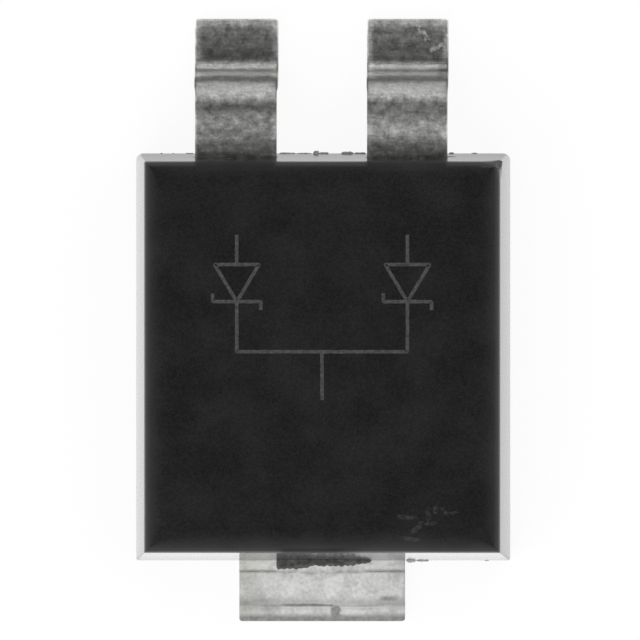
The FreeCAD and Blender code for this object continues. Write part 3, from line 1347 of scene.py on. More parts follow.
@dataclass
class FormedLead:
    """One lead of stamped and bent strip, from its foot to the clip over the die."""

    side: Side
    finish: LeadFinish
    pitch: float = LEAD_PITCH
    thickness: float = 0.178
    tip: float = TIP
    wall: float = LEAD_WALL
    foot_width: float = 0.90
    foot_flat: float = 0.468
    foot_corner: float = 0.03
    edge_roll: float = 0.018
    tip_roll: float = 0.022
    shoulder_width: float = 0.88
    shin_angle: float = 78.0
    bend_radius: float = 0.10
    underside: float = 0.555
    clip_width: float = 1.15
    clip_start: float = 0.281
    clip_end: float = -1.219
    clip_taper: float = 0.20
    hole_radius: float = 0.15
    hole_inset: float = 0.36
    boss_radius: float = 0.38
    boss_depth: float = 0.035
    boss_flare: float = 0.04
    recess_radius: float = 0.30
    plate_middle: float = PLATE_MIDDLE
    unevenness: float = 0.0045
    wide_swells: float = 2.2
    fine_swells: float = 9.0
    fine_share: float = 0.45
    seed: int = 7
    shoulder_passage: float = 0.09
    bend_steps: int = 18
    roll_steps: int = 5
    ring_step: float = 0.012
    section_step: float = 0.021

    @property
    def middle(self) -> float:
        """Place of the lead along X."""
        return FRAME_SHIFT + self.side.value * self.pitch / 2

    def heel(self) -> float:
        """Place along Y where the foot's underside leaves the board."""
        half_turn = math.radians(self.shin_angle) / 2
        return self.tip - self.foot_flat - (self.bend_radius + self.thickness) * math.tan(half_turn)

    def route(self) -> list[Point]:
        """Corners of the strip's middle line, from the tip of the foot to the end of the clip.

        Returns:
            Four points.
        """
        half_turn = math.radians(self.shin_angle) / 2
        middle_radius = self.bend_radius + self.thickness / 2
        foot_bend = self.tip - self.foot_flat - middle_radius * math.tan(half_turn)
        shoulder_bend = foot_bend - self.underside / math.tan(2 * half_turn)
        low = self.thickness / 2
        high = self.underside + low
        line = [(self.tip, low), (foot_bend, low), (shoulder_bend, high), (self.clip_end, high)]
        return [(self.middle, y, z) for y, z in line]

    def sizes(self) -> dict[str, float]:
        """Named sizes for the strip's node tree.

        Returns:
            Sizes in millimetres by name.
        """
        return {
            "Middle": self.middle,
            "Tip": self.tip,
            "Strip Width": self.foot_width,
            "Strip Thickness": self.thickness,
            "Bend Radius": self.bend_radius + self.thickness / 2,
            "Edge Roll": self.edge_roll,
            "Tip Roll": self.tip_roll,
            "Foot Corner": self.foot_corner,
            "Heel": self.heel(),
            "Shoulder Width": self.shoulder_width,
            "Clip Width": self.clip_width,
            "Clip Start": self.clip_start,
            "Clip Taper": self.clip_taper,
            "Unevenness": self.unevenness,
        }

    def strip(self) -> GeometryGraph:
        """Node tree that sweeps the strip's section along its bends.

        Returns:
            The tree.
        """
        graph = GeometryGraph(f"formed_strip_{self.side.name.lower()}", self.sizes())
        line = graph.rounded(graph.runs(), self.bend_steps, graph.given["Bend Radius"])
        line = graph.even(line, self.ring_step)
        length = graph.add("GeometryNodeSplineParameter").outputs["Length"]
        stored = {"Geometry": line, "Name": "along", "Value": length}
        line = graph.add(
            "GeometryNodeStoreNamedAttribute", stored, data_type="FLOAT", domain="POINT"
        ).outputs[0]
        swept = graph.swept(graph.level(line), self.section(graph))
        shaped = graph.placed(swept, self.shaped_place(graph))
        graph.finish(graph.placed(shaped, self.uneven_place(graph)))
        return graph

    def section(self, graph: GeometryGraph) -> Socket:
        """The strip's rectangular section with rolled edges.

        Args:
            graph: The strip's tree.

        Returns:
            The section's curve.
        """
        given = graph.given
        outline = graph.rectangle(given["Strip Width"], given["Strip Thickness"])
        outline = graph.rounded(outline, self.roll_steps, given["Edge Roll"])
        return graph.even(outline, self.section_step)

    def shaped_place(self, graph: GeometryGraph) -> Socket:
        """Where each point goes when the plan of the strip is stamped.

        Args:
            graph: The strip's tree.

        Returns:
            The new position.
        """
        given = graph.given
        x, y, z = graph.parts(graph.position())
        along = graph.named("along")
        shoulder_start = graph.maths("SUBTRACT", given["Heel"], given["Foot Corner"])
        shoulder_end = graph.maths("SUBTRACT", shoulder_start, self.shoulder_passage)
        in_shoulder = graph.span(y, shoulder_start, shoulder_end, smooth=True)
        taper_start = graph.maths("ADD", given["Clip Start"], given["Clip Taper"])
        in_clip = graph.span(y, taper_start, given["Clip Start"], smooth=True)
        slimmer = graph.maths("SUBTRACT", given["Shoulder Width"], given["Strip Width"])
        wider = graph.maths("SUBTRACT", given["Clip Width"], given["Shoulder Width"])
        width = graph.maths("ADD", given["Strip Width"], graph.maths("MULTIPLY", slimmer, in_shoulder))
        width = graph.maths("ADD", width, graph.maths("MULTIPLY", wider, in_clip))
        corner = self.roll_drop(graph, along, given["Foot Corner"])
        width = graph.maths("SUBTRACT", width, graph.maths("MULTIPLY", corner, 2.0))
        scale = graph.maths("DIVIDE", width, given["Strip Width"])
        offset = graph.maths("SUBTRACT", x, given["Middle"])
        new_x = graph.maths("ADD", given["Middle"], graph.maths("MULTIPLY", offset, scale))
        half = graph.maths("MULTIPLY", given["Strip Thickness"], 0.5)
        above = graph.maths("SUBTRACT", z, half)
        upper = graph.span(above, 0.0, half)
        drop = graph.maths("MULTIPLY", self.roll_drop(graph, along, given["Tip Roll"]), upper)
        return graph.joined(new_x, y, graph.maths("SUBTRACT", z, drop))

    @staticmethod
    def roll_drop(graph: GeometryGraph, distance: Socket, radius: Socket) -> Socket:
        """How far a rolled edge has dropped at a distance from the tip.

        Args:
            graph: The strip's tree.
            distance: Distance from the tip.
            radius: Radius of the roll.

        Returns:
            The drop.
        """
        share = graph.maths("SUBTRACT", 1.0, graph.maths("DIVIDE", distance, radius), clamp=True)
        square = graph.maths("MULTIPLY", share, share)
        root = graph.maths("SQRT", graph.maths("SUBTRACT", 1.0, square))
        return graph.maths("MULTIPLY", radius, graph.maths("SUBTRACT", 1.0, root))

    def uneven_place(self, graph: GeometryGraph) -> Socket:
        """Where each point goes when the surface is a little uneven.

        Args:
            graph: The strip's tree.

        Returns:
            The new position, never under the board.
        """
        place = graph.position()
        normal = graph.add("GeometryNodeInputNormal").outputs[0]
        fine = graph.maths("MULTIPLY", graph.wobble(self.fine_swells), self.fine_share)
        swell = graph.maths("ADD", graph.wobble(self.wide_swells), fine)
        swell = graph.maths("MULTIPLY", swell, graph.given["Unevenness"])
        outside = graph.span(graph.parts(place)[1], self.wall, self.wall + 0.15, smooth=True)
        swell = graph.maths("MULTIPLY", swell, outside)
        moved = graph.vector_maths(
            "ADD", place, graph.vector_maths("MULTIPLY", normal, graph.joined(swell, swell, swell))
        )
        x, y, z = graph.parts(moved)
        return graph.joined(x, y, graph.maths("MAXIMUM", z, 0.0))

    def build(self) -> bpy.types.Object:
        """Build the lead with its boss and keying hole.

        Returns:
            The lead, in millimetres.
        """
        name = f"{self.side.name.lower()}_formed_lead"
        piece = polylines(name, [self.route()], [1.0])
        self.strip().apply(piece, self.side.value + self.seed, self.finish.material(self.middle))
        top = self.underside + self.thickness
        boss_place = (self.middle, self.plate_middle, self.underside - self.boss_depth)
        boss_root = self.boss_radius + self.boss_flare
        boss = cone("boss", boss_place, self.boss_radius, boss_root, self.boss_depth + 0.01)
        combine(piece, boss, Cut.ADD)
        recess_place = (self.middle, self.plate_middle, top - self.boss_depth)
        recess_mouth = self.recess_radius + 2 * self.boss_flare
        recess = cone("recess", recess_place, self.recess_radius, recess_mouth, 2 * self.boss_depth)
        combine(piece, recess, Cut.REMOVE)
        hole_place = (self.middle, self.wall - self.hole_inset, self.underside - CLEARANCE)
        hole_height = self.thickness + 2 * CLEARANCE
        hole = cone("hole", hole_place, self.hole_radius, self.hole_radius, hole_height)
        combine(piece, hole, Cut.REMOVE)
        return piece


@dataclass
class HeatSink:
    """Copper plate with a bare pad below, a keyed ledge and a coined solder tab."""

    thickness: float = PARTING
    pad_width: float = 3.05
    pad_length: float = 3.46
    pad_corner: float = 0.15
    ledge_overhang: float = 0.15
    ledge_thickness: float = 0.127
    plate_middle: float = PLATE_MIDDLE
    tab_width: float = 1.79
    tab_tip: float = -TIP
    wall: float = TAB_WALL
    tab_corner: float = 0.03
    end_roll: float = 0.042
    side_roll: float = 0.026
    root_strip: float = 0.105
    root_step: float = 0.03
    lip_length: float = 0.158
    lip_step: float = 0.02
    ramp: float = 0.014
    score_width: float = 0.058
    score_depth: float = 0.012
    nick_across: float = 0.146
    nick_inset: float = 0.040
    nick_depth: float = 0.014
    smudge_across: float = 0.722
    smudge_along: float = -3.016
    lock_notch: float = 0.12
    worn_step: tuple[Passage, Passage] = ((-0.55, -0.40), (0.50, 0.42))
    scored: tuple[Passage, Passage] = ((-0.74, -0.60), (0.66, 0.52))
    dark_score: tuple[Passage, Passage] = ((-0.50, -0.38), (0.16, 0.10))
    step_dirt_and_shade_level: float = 0.86
    end_shade_level: float = 0.85
    smudge_grime: float = 0.80
    nick_shade_level: float = 0.75
    fine_rim: tuple[float, ...] = (0.0, 0.0015, 0.005, 0.010, 0.016, 0.024)
    coarse_start: float = 0.036

    def tab(self) -> bpy.types.Object:
        """Build the tab with its coined steps, score line, nick and rolled edges.

        Returns:
            The tab, in millimetres.
        """
        edge = np.array(self.fine_rim)
        half = self.tab_width / 2
        inner = np.linspace(-half + self.coarse_start, half - self.coarse_start, 150)
        across = np.concatenate([-half + edge, inner, half - edge[::-1]])
        outer = np.linspace(self.tab_tip + self.coarse_start, self.wall + 0.04, 84)
        length = np.concatenate([self.tab_tip + edge, outer, [self.wall + 0.25, self.wall + 0.40]])
        x, y = np.meshgrid(across, length, indexing="ij")
        top, grime_and_shade = self.tab_top(x, y)
        squeeze = 1 - falling_edge(y - self.tab_tip, self.tab_corner) / half
        piece = closed_sheet("heat_sink_plate", x * squeeze, y, top, 0.0)
        values = np.zeros(len(piece.data.vertices))
        values[: grime_and_shade.size] = grime_and_shade.ravel()
        store(piece, "grime_and_shade", values)
        return piece

    def tab_top(self, x: np.ndarray, y: np.ndarray) -> tuple[np.ndarray, np.ndarray]:
        """Height of the tab's top, and its dirt and painted shade.

        Args:
            x: Places along X.
            y: Places along Y.

        Returns:
            Heights, and dirt and painted shade from 0 to 1.
        """
        outside = smooth_step(self.wall + 0.03, self.wall - 0.02, y)
        worn = plateau(x, *self.worn_step)
        step_line = self.wall - self.root_strip - self.ramp / 2
        step_line = step_line + worn * (0.005 * waves(x, y * 0, 0.10, 3) - 0.010)
        stepped = smooth_step(self.ramp / 2, -self.ramp / 2, y - step_line)
        lip_start = self.tab_tip + self.lip_length
        lipped = smooth_step(self.ramp / 2, -self.ramp / 2, y - lip_start + 0.006)
        score_line = lip_start + self.score_width * 0.30 + 0.003 * waves(x, y * 0, 0.25, 5)
        score = bell(y - score_line, self.score_width / 3)
        score = score * plateau(x, *self.scored)
        ragged = x - self.nick_across + 0.004 * waves(x, y, 0.03, 12)
        nick = smooth_step(0.066, 0.034, np.abs(ragged))
        nick = nick * smooth_step(0.075, 0.045, np.abs(y - lip_start + self.nick_inset))
        top = self.thickness - self.root_step * stepped - self.lip_step * lipped
        top = top - self.score_depth * score - self.nick_depth * nick
        top = top + outside * (0.0022 * waves(x, y, 0.16, 8) + 0.0010 * waves(x, y, 0.05, 9))
        side = self.tab_width / 2 - np.abs(x)
        top = top - falling_edge(side, self.side_roll) - falling_edge(y - self.tab_tip, self.end_roll)
        broken = smooth_step(-0.5, 0.4, waves(x, y * 0, 0.06, 11))
        spared = worn * (0.55 - 0.3 * broken)
        # Dirt and painted shade along the step and in the score; painted shade on the rolled end, in the
        # nick and in a band beside the lip; a real smudge; a faint film on the lip; painted shade towards
        # the sides
        step_dirt_and_shade = self.step_dirt_and_shade_level * bell(y - step_line + 0.004, 0.0155) * (1 - spared)
        groove_dirt_and_shade = score * (0.45 + 0.45 * plateau(x, *self.dark_score))
        end_shade = self.end_shade_level * smooth_step(self.tab_tip + 0.112, self.tab_tip + 0.022, y)
        smudge = smooth_step(0.165, 0.030, np.abs(x - self.smudge_across))
        smudge = smudge * smooth_step(0.058, 0.0, np.abs(y - self.smudge_along))
        toward_left = smooth_step(-0.32, -0.55, x)
        shore = (0.50 + 0.06 * toward_left) * bell(y - lip_start - 0.030, 0.052 + 0.022 * toward_left)
        film_and_side_shade = 0.08 * lipped + 0.06 * stepped * smooth_step(0.35, 0.75, np.abs(x))
        spots = np.maximum(self.smudge_grime * smudge, self.nick_shade_level * nick)
        dirt_and_shade = np.maximum.reduce([step_dirt_and_shade, groove_dirt_and_shade, end_shade, spots, shore])
        return top, np.clip((dirt_and_shade + film_and_side_shade * (1 - dirt_and_shade)) * outside, 0, 1)

    def slab(self, name: str, growth: float, bottom: float, top: float) -> bpy.types.Object:
        """One flat layer of the plate.

        Args:
            name: Name of the layer.
            growth: How much further it reaches than the pad on each side.
            bottom: Its lower height.
            top: Its upper height.

        Returns:
            The layer, in millimetres.
        """
        half_width = self.pad_width / 2 + growth
        half_length = self.pad_length / 2 + growth
        near, far = self.plate_middle - half_length, self.plate_middle + half_length
        corner = self.pad_corner + growth
        rings = [rounded_rectangle(half_width, near, far, corner, corner, z) for z in (bottom, top)]
        return lofted(name, rings)

    def build(self) -> bpy.types.Object:
        """Build the whole heat sink.

        Returns:
            The heat sink, in millimetres.
        """
        piece = self.tab()
        ledge_bottom = self.thickness - self.ledge_thickness
        combine(piece, self.slab("ledge", self.ledge_overhang, ledge_bottom, self.thickness), Cut.ADD)
        combine(piece, self.slab("pad", 0.0, 0.0, ledge_bottom), Cut.ADD)
        plate_start = self.plate_middle - self.pad_length / 2 - self.ledge_overhang
        notch_y = (plate_start + self.wall) / 2
        for direction in (-1, 1):
            notch_x = direction * (self.tab_width / 2 + self.lock_notch / 3)
            radius = self.lock_notch * 2 / 3
            height = self.thickness + 2 * CLEARANCE
            notch = cone("notch", (notch_x, notch_y, -CLEARANCE), radius, radius, height)
            combine(piece, notch, Cut.REMOVE)
        piece.data.transform(Matrix.Translation((FRAME_SHIFT, 0.0, 0.0)))
        piece.data.materials.clear()
        piece.data.materials.append(HeatSinkFinish().material())
        return piece


@dataclass
class ResinFlash:
    """Thin resin that the mould let out: a sheet over the tab and beads on the parting line."""

    wall: float = TAB_WALL
    lead_wall: float = LEAD_WALL
    parting: float = PARTING
    thickness: float = 0.015
    root: float = 0.06
    shore: tuple[tuple[float, float], ...] = (
        (-0.505, 0.060), (-0.495, 0.094), (-0.44, 0.097), (-0.36, 0.088), (-0.29, 0.094),
        (-0.20, 0.084), (-0.10, 0.056), (0.02, 0.060), (0.12, 0.063), (0.26, 0.056),
        (0.40, 0.040), (0.50, 0.026), (0.525, 0.006),
    )
    shore_waves: float = 0.035
    shore_depth: float = 0.0055
    bead_seat: float = 0.004
    bead_raggedness: float = 0.55
    bead_flatness: float = 0.6
    bead_taper: float = 0.28
    bead_waves: float = 24.0
    bead_step: float = 0.009
    lead_end_beads: tuple[tuple[float, float, float], ...] = (
        (-1.764, -1.732, 0.010), (-1.635, -1.607, 0.009), (-1.494, -1.397, 0.010), (-0.480, -0.294, 0.015),
        (-0.294, -0.120, 0.011), (-0.110, -0.036, 0.034), (-0.040, 0.063, 0.018), (0.192, 0.333, 0.024),
        (0.333, 0.463, 0.016), (1.355, 1.420, 0.016), (1.598, 1.673, 0.012),
    )
    tab_end_beads: tuple[tuple[float, float, float], ...] = (
        (0.895, 1.003, 0.028), (1.003, 1.144, 0.018), (1.742, 1.800, 0.010),
    )

    def sheet(self, finish: bpy.types.Material) -> None:
        """Build the sheet over the root of the tab.

        Args:
            finish: Its material.
        """
        places, reaches = np.array(self.shore).T
        across = np.linspace(places[0], places[-1], 170)
        reach = np.interp(across, places, reaches)
        scallops = self.shore_depth * waves(across, across * 0, self.shore_waves, 21)
        reach = np.maximum(reach + scallops * smooth_step(0.0, 0.05, reach), 0.004)
        share = np.concatenate([np.linspace(0, 0.85, 12), [0.91, 0.95, 0.98, 1.0]])
        x = np.repeat(across[:, None], len(share), axis=1)
        y = self.wall + self.root - (reach[:, None] + self.root) * share[None, :]
        thin = 1 - 0.75 * smooth_step(0.80, 1.0, share)[None, :]
        left_end = smooth_step(places[0], places[0] + 0.03, across)
        right_end = smooth_step(places[-1], places[-1] - 0.04, across)
        thin = thin * (0.35 + 0.65 * (left_end * right_end)[:, None])
        top = self.parting + self.thickness * thin * (1 + 0.16 * waves(x, y, 0.06, 22))
        grid = [part[:, ::-1] for part in (x, y, top)]
        piece = closed_sheet("tab_resin_flash", *grid, self.parting - 0.002)
        piece.data.materials.append(finish)
        settle(piece, Slot.MOULDING)

    def beads(self, finish: bpy.types.Material) -> None:
        """Build the beads along the parting line at both ends.

        Args:
            finish: Their material.
        """
        runs, radii = [], []
        for wall, table in ((self.lead_wall, self.lead_end_beads), (self.wall, self.tab_end_beads)):
            seat = wall - math.copysign(self.bead_seat, wall)
            for start, end, radius in table:
                runs.append([(start, seat, self.parting), (end, seat, self.parting)])
                radii.append(radius)
        sizes = {"Raggedness": self.bead_raggedness, "Flatness": self.bead_flatness}
        graph = GeometryGraph("parting_beads", sizes)
        line = graph.even(graph.runs(), self.bead_step)
        share = graph.add("GeometryNodeSplineParameter").outputs["Factor"]
        ends = graph.maths("MULTIPLY", share, graph.maths("SUBTRACT", 1.0, share))
        taper = graph.maths("POWER", graph.maths("MULTIPLY", ends, 4.0), self.bead_taper)
        ragged = graph.maths("MULTIPLY", graph.wobble(self.bead_waves), graph.given["Raggedness"])
        ragged = graph.maths("ADD", 1.0, graph.maths("MULTIPLY", ragged, 2.0))
        radius = graph.maths("MULTIPLY", graph.named("size"), graph.maths("MULTIPLY", taper, ragged))
        radius = graph.maths("MAXIMUM", radius, 0.002)
        circle = graph.add("GeometryNodeCurvePrimitiveCircle", {"Resolution": 12, "Radius": 1.0}).outputs[0]
        x, y, z = graph.parts(graph.position())
        rise = graph.maths("MULTIPLY", graph.maths("SUBTRACT", z, self.parting), graph.given["Flatness"])
        place = graph.joined(x, y, graph.maths("ADD", rise, self.parting))
        graph.finish(graph.placed(graph.swept(line, circle, radius), place))
        piece = polylines("parting_resin_flash", runs, radii)
        graph.apply(piece, 5, finish)
        settle(piece, Slot.MOULDING)

    def build(self) -> None:
        """Build the sheet and the beads."""
        self.sheet(FlashFinish("resin_flash").material())
        # The beads get a paler copy of the flash: thin resin, also painted lighter to offset the shade of
        # the wall above them
        thin = FlashFinish("resin_flash_painted_lighter", dark=(0.32, 0.315, 0.31), light=(0.66, 0.65, 0.64))
        self.beads(thin.material())


@dataclass
class CircuitSymbol:
    """Plain circuit symbol of two rectifiers with a common cathode, marked on the top by laser."""

    top: float = TOP
    pitch: float = 1.84
    lead_end: float = 0.92
    anode: float = 0.60
    cathode: float = 0.20
    half_triangle: float = 0.24
    half_bar: float = 0.26
    hook: float = 0.09
    joint: float = -0.34
    tab_end: float = -0.86
    stroke_width: float = 0.038
    stroke_height: float = 0.004
    raggedness: float = 0.010
    step: float = 0.012
    layer: float = 0.00012

    def runs(self) -> list[list[Point]]:
        """Strokes of the symbol.

        Returns:
            Chains of points on the top face.
        """
        lines: list[list[tuple[float, float]]] = []
        for side in Side:
            x = side.value * self.pitch / 2
            low, high = self.cathode, self.anode
            lines.append([(x, self.lead_end), (x, high)])
            lines.append([
                (x, high), (x + self.half_triangle, high),
                (x, low), (x - self.half_triangle, high), (x, high),
            ])
            lines.append([
                (x - self.half_bar, low + self.hook), (x - self.half_bar, low),
                (x + self.half_bar, low), (x + self.half_bar, low - self.hook),
            ])
            lines.append([(x, low), (x, self.joint), (0.0, self.joint)])
        lines.append([(0.0, self.joint), (0.0, self.tab_end)])
        low = self.top - self.stroke_height / 4
        return [
            [(x, y, low + self.layer * number) for x, y in line]
            for number, line in enumerate(lines)
        ]

    def build(self) -> None:
        """Build the strokes as thin ribbons on the top face."""
        sizes = {
            "Stroke Width": self.stroke_width,
            "Stroke Height": self.stroke_height,
            "Raggedness": self.raggedness,
        }
        graph = GeometryGraph("laser_strokes", sizes)
        given = graph.given
        line = graph.level(graph.even(graph.runs(), self.step))
        swept = graph.swept(line, graph.rectangle(given["Stroke Width"], given["Stroke Height"]))
        shift = graph.maths("MULTIPLY", graph.wobble(22.0), given["Raggedness"])
        offset = graph.joined(shift, graph.maths("MULTIPLY", graph.wobble(26.0), given["Raggedness"]), 0.0)
        graph.finish(graph.add("GeometryNodeSetPosition", {"Geometry": swept, "Offset": offset}).outputs[0])
        lines = self.runs()
        piece = polylines("laser_marked_symbol", lines, [1.0] * len(lines))
        graph.apply(piece, 3, LaserFinish().material())
        settle(piece, Slot.MOULDING)


@dataclass
class SealedStack:
    """The dice and the solder under and over them, which the moulding hides."""

    dice: tuple[str, ...] = ("left_die", "right_die")
    solders: tuple[str, ...] = (
        "left_die_solder", "right_die_solder", "left_contact_solder", "right_contact_solder",
    )

    def dress(self) -> None:
        """Give the sealed CAD nodes their finishes."""
        finishes = {self.dice: SiliconFinish().material(), self.solders: SolderFinish().material()}
        for names, finish in finishes.items():
            for name in names:
                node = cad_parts[name]
                node.data.materials.clear()
                node.data.materials.append(finish)
                LOG.info("%s: CAD node with material %s", name, finish.name)

    def stand_ins(self) -> list[bpy.types.Object]:
        """Closed copies of the sealed nodes in millimetres, to cut their room out of the body.

        Returns:
            The copies.
        """
        copies = []
        for name in self.dice + self.solders:
            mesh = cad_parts[name].data.copy()
            mesh.transform(Matrix.Scale(1 / MM, 4))
            shape = bmesh.new()
            shape.from_mesh(mesh)
            bmesh.ops.remove_doubles(shape, verts=list(shape.verts), dist=1e-5)
            shape.to_mesh(mesh)
            shape.free()
            copies.append(new_object(f"{name}_room", mesh))
        return copies


@dataclass
class Studio:
    """Pale floor, soft white surroundings, two soft lamps and the camera over the part."""

    lens: float = 1600.0
    sensor: float = 36.0
    view_width: float = 6.919
    target: Point = (-0.035, 0.0, 0.2)
    lean_right: float = 0.79
    lean_up: float = 0.11
    surroundings: float = 0.55
    zenith_level: float = 0.12
    zenith_core: float = 0.0
    zenith_edge: float = 36.0
    zenith_lean: float = 0.08
    floor_glow: float = 1.06
    floor_paper: float = 0.14
    floor_half: float = 150.0
    beside_body: Passage = (1.98, 2.06)
    floor_across: Passage = (-2.0, 2.0)
    glow_across: Passage = (1.14, 1.08)
    floor_along: Passage = (-2.7, 1.9)
    glow_along: Passage = (1.27, 0.72)

    def camera(self) -> None:
        """Set the camera that looks straight down, with a trace of lean."""
        data = bpy.data.cameras.new("portrait_camera")
        data.lens = self.lens
        data.sensor_width = self.sensor
        distance = self.view_width * self.lens / self.sensor
        data.clip_start = distance * 0.5 * MM
        data.clip_end = distance * 3 * MM
        camera = new_object("portrait_camera", data)
        backward = Vector((
            math.tan(math.radians(self.lean_right)), math.tan(math.radians(self.lean_up)), 1.0
        )).normalized()
        right = Vector((0.0, 1.0, 0.0)).cross(backward).normalized()
        upward = backward.cross(right)
        place = (Vector(self.target) + backward * distance) * MM
        turned = Matrix((right, upward, backward)).transposed().to_4x4()
        camera.matrix_world = Matrix.Translation(place) @ turned
        bpy.context.scene.camera = camera

    def world(self) -> None:
        """White surroundings with a soft dark patch overhead, as under a camera in a light tent."""
        world = bpy.data.worlds.new("light_tent")
        world.use_nodes = True
        bpy.context.scene.world = world
        graph = NodeGraph(world.node_tree)
        graph.tree.nodes.clear()
        rays = graph.add("ShaderNodeLightPath").outputs
        direction = graph.add("ShaderNodeTexCoord").outputs["Generated"]
        overhead = tuple(Vector((0.0, self.zenith_lean, 1.0)).normalized())
        nearness = graph.vector_maths("DOT_PRODUCT", direction, overhead)
        edge, core = (math.cos(math.radians(angle)) for angle in (self.zenith_edge, self.zenith_core))
        tent = graph.span(nearness, edge, core, 1.0, self.zenith_level, smooth=True)
        reflected = graph.maths("MAXIMUM", rays["Is Glossy Ray"], rays["Is Transmission Ray"])
        seen = graph.maths("MULTIPLY", reflected, graph.maths("SUBTRACT", tent, self.surroundings))
        level = graph.maths("ADD", seen, self.surroundings)
        for_camera = graph.maths("MULTIPLY", rays["Is Camera Ray"], 1.0 - self.surroundings)
        level = graph.maths("ADD", level, for_camera)
        background = graph.add("ShaderNodeBackground", {"Color": (1.0, 1.0, 1.0, 1.0), "Strength": level})
        output = graph.add("ShaderNodeOutputWorld")
        graph.tree.links.new(background.outputs[0], output.inputs["Surface"])

    def floor(self) -> None:
        """Pale floor that looks white to the camera and still takes a faint shadow, with painted light and
        shade in what reflections see of it.
        """
        half = self.floor_half
        corners = np.array([(-half, -half, 0.0), (half, -half, 0.0), (half, half, 0.0), (-half, half, 0.0)])
        floor = mesh_piece("floor", corners, [[0, 1, 2, 3]])
        floor.data.transform(Matrix.Scale(MM, 4))
        graph = ShaderGraph("pale_floor")
        rays = graph.add("ShaderNodeLightPath").outputs
        x, y, _ = graph.parts(graph.place)
        # Painted light and shade on the floor as reflections see it: off the ends brighter towards the tab
        # end and dimmer towards the leads, beside the sides a little brighter on the left
        beside = graph.span(graph.maths("ABSOLUTE", x), *self.beside_body, smooth=True)
        sideways = graph.span(x, *self.floor_across, *self.glow_across)
        lengthways = graph.span(y, *self.floor_along, *self.glow_along)
        painted_floor_light = graph.add("ShaderNodeMix", {0: beside, 2: lengthways, 3: sideways}).outputs[0]
        paper = graph.add("ShaderNodeBsdfDiffuse", {"Color": (0.8, 0.8, 0.8, 1.0)}).outputs[0]
        glow = graph.add("ShaderNodeEmission", {"Strength": self.floor_glow}).outputs[0]
        share = 1.0 - self.floor_paper
        seen = graph.add("ShaderNodeMixShader", {0: share, 1: paper, 2: glow}).outputs[0]
        reflection = graph.add("ShaderNodeEmission", {"Strength": painted_floor_light}).outputs[0]
        shown = graph.add("ShaderNodeMixShader", {0: rays["Is Camera Ray"], 1: paper, 2: seen}).outputs[0]
        reflected = graph.maths("MAXIMUM", rays["Is Glossy Ray"], rays["Is Transmission Ray"])
        whole = graph.add("ShaderNodeMixShader", {0: reflected, 1: shown, 2: reflection}).outputs[0]
        graph.tree.links.new(whole, graph.output.inputs["Surface"])
        floor.data.materials.append(graph.material)

    def lamp(self, name: str, direction: Point, distance: float, size: float, level: float) -> None:
        """One soft square lamp that faces the part.

        Args:
            name: Name of the lamp.
            direction: Where it stands, from the part.
            distance: How far away, in millimetres.
            size: Length of its side, in millimetres.
            level: Its share of full light on a surface that faces it.
        """
        data = bpy.data.lights.new(name, "AREA")
        data.shape = "SQUARE"
        data.size = size * MM
        data.energy = level * math.pi**2 * (distance * MM) ** 2
        lamp = new_object(name, data)
        backward = Vector(direction).normalized()
        place = Matrix.Translation(backward * distance * MM)
        lamp.matrix_world = place @ backward.to_track_quat("Z", "Y").to_matrix().to_4x4()
        lamp.visible_camera = False
        lamp.visible_glossy = False

    def build(self) -> None:
        """Set up the whole studio."""
        bpy.context.scene.view_settings.view_transform = "Standard"
        self.camera()
        self.world()
        self.floor()
        self.lamp("key_lamp", direction=(-0.5, -0.7, 1.0), distance=60.0, size=50.0, level=0.35)
        self.lamp("fill_lamp", direction=(0.8, 0.5, 0.9), distance=70.0, size=60.0, level=0.14)


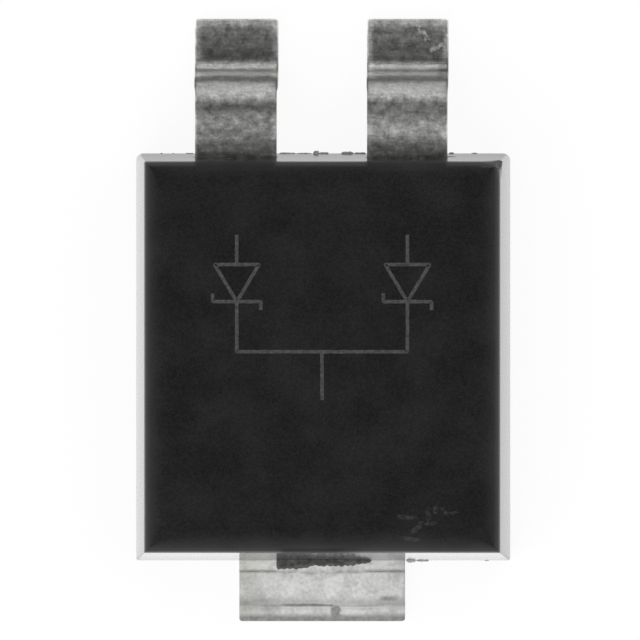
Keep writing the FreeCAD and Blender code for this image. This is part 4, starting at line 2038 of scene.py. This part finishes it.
# Painted reflections and shade along each lead, from the tip of the foot: lighter on the rolled tip and the
# bends, darker on the flats and next to the body
LEFT_FOOT: Stops = (
    (0.0, 0.72), (0.022, 0.75), (0.052, 0.79), (0.068, 0.66), (0.088, 0.47), (0.11, 0.35), (0.20, 0.34),
    (0.34, 0.21), (0.44, 0.23),
)
RIGHT_FOOT: Stops = (
    (0.0, 0.66), (0.022, 0.74), (0.045, 0.79), (0.062, 0.72), (0.082, 0.54), (0.10, 0.42), (0.20, 0.31),
    (0.30, 0.29), (0.44, 0.22),
)
BENDS: Stops = (
    (0.475, 0.57), (0.53, 0.53), (0.61, 0.41), (0.70, 0.47), (0.82, 0.86), (0.88, 1.00), (0.925, 0.98),
    (0.99, 0.66), (1.03, 0.27), (1.06, 0.165), (1.105, 0.365), (1.18, 0.515), (1.215, 0.80), (1.24, 0.65),
    (1.265, 0.395),
)
LEFT_SHOULDER: Stops = (
    (1.33, 0.31), (1.41, 0.56), (1.48, 0.64), (1.56, 0.56), (1.645, 0.46), (1.71, 0.31), (1.78, 0.285),
    (1.85, 0.16),
)
RIGHT_SHOULDER: Stops = (
    (1.31, 0.47), (1.37, 0.37), (1.46, 0.67), (1.55, 0.82), (1.62, 0.65), (1.71, 0.30), (1.78, 0.25),
    (1.85, 0.16),
)
FOOT_SCRATCHES: Marks = (
    ((1.046, 3.157, 0.178), (1.122, 3.028, 0.178), 0.040),
    ((1.176, 2.919, 0.178), (1.295, 2.984, 0.178), 0.040),
)


def main() -> None:
    """Build every piece in order and report it."""
    logging.basicConfig(level=logging.INFO, format="%(name)s: %(message)s")
    Studio().build()
    heat_sink = HeatSink().build()
    left_finish = LeadFinish("plated_left_lead", (*LEFT_FOOT, *BENDS, *LEFT_SHOULDER))
    left_lead = FormedLead(Side.LEFT, left_finish).build()
    right_painted_light_levels = (*RIGHT_FOOT, *BENDS, *RIGHT_SHOULDER)
    right_finish = LeadFinish(
        "plated_right_lead", right_painted_light_levels, scratches=FOOT_SCRATCHES, half_width=0.435, shaded_side=0.42
    )
    right_lead = FormedLead(Side.RIGHT, right_finish, foot_width=0.88, shoulder_width=0.868).build()
    sealed = SealedStack()
    rooms = sealed.stand_ins()
    MouldedBody().build([heat_sink, left_lead, right_lead, *rooms])
    for room in rooms:
        bpy.data.objects.remove(room)
    settle(heat_sink, Slot.HEAT_SINK, "heat_sink")
    settle(left_lead, Slot.LEAD, "left_anode_lead")
    settle(right_lead, Slot.LEAD, "right_anode_lead")
    ResinFlash().build()
    CircuitSymbol().build()
    sealed.dress()


if __name__ == "__main__":
    main()
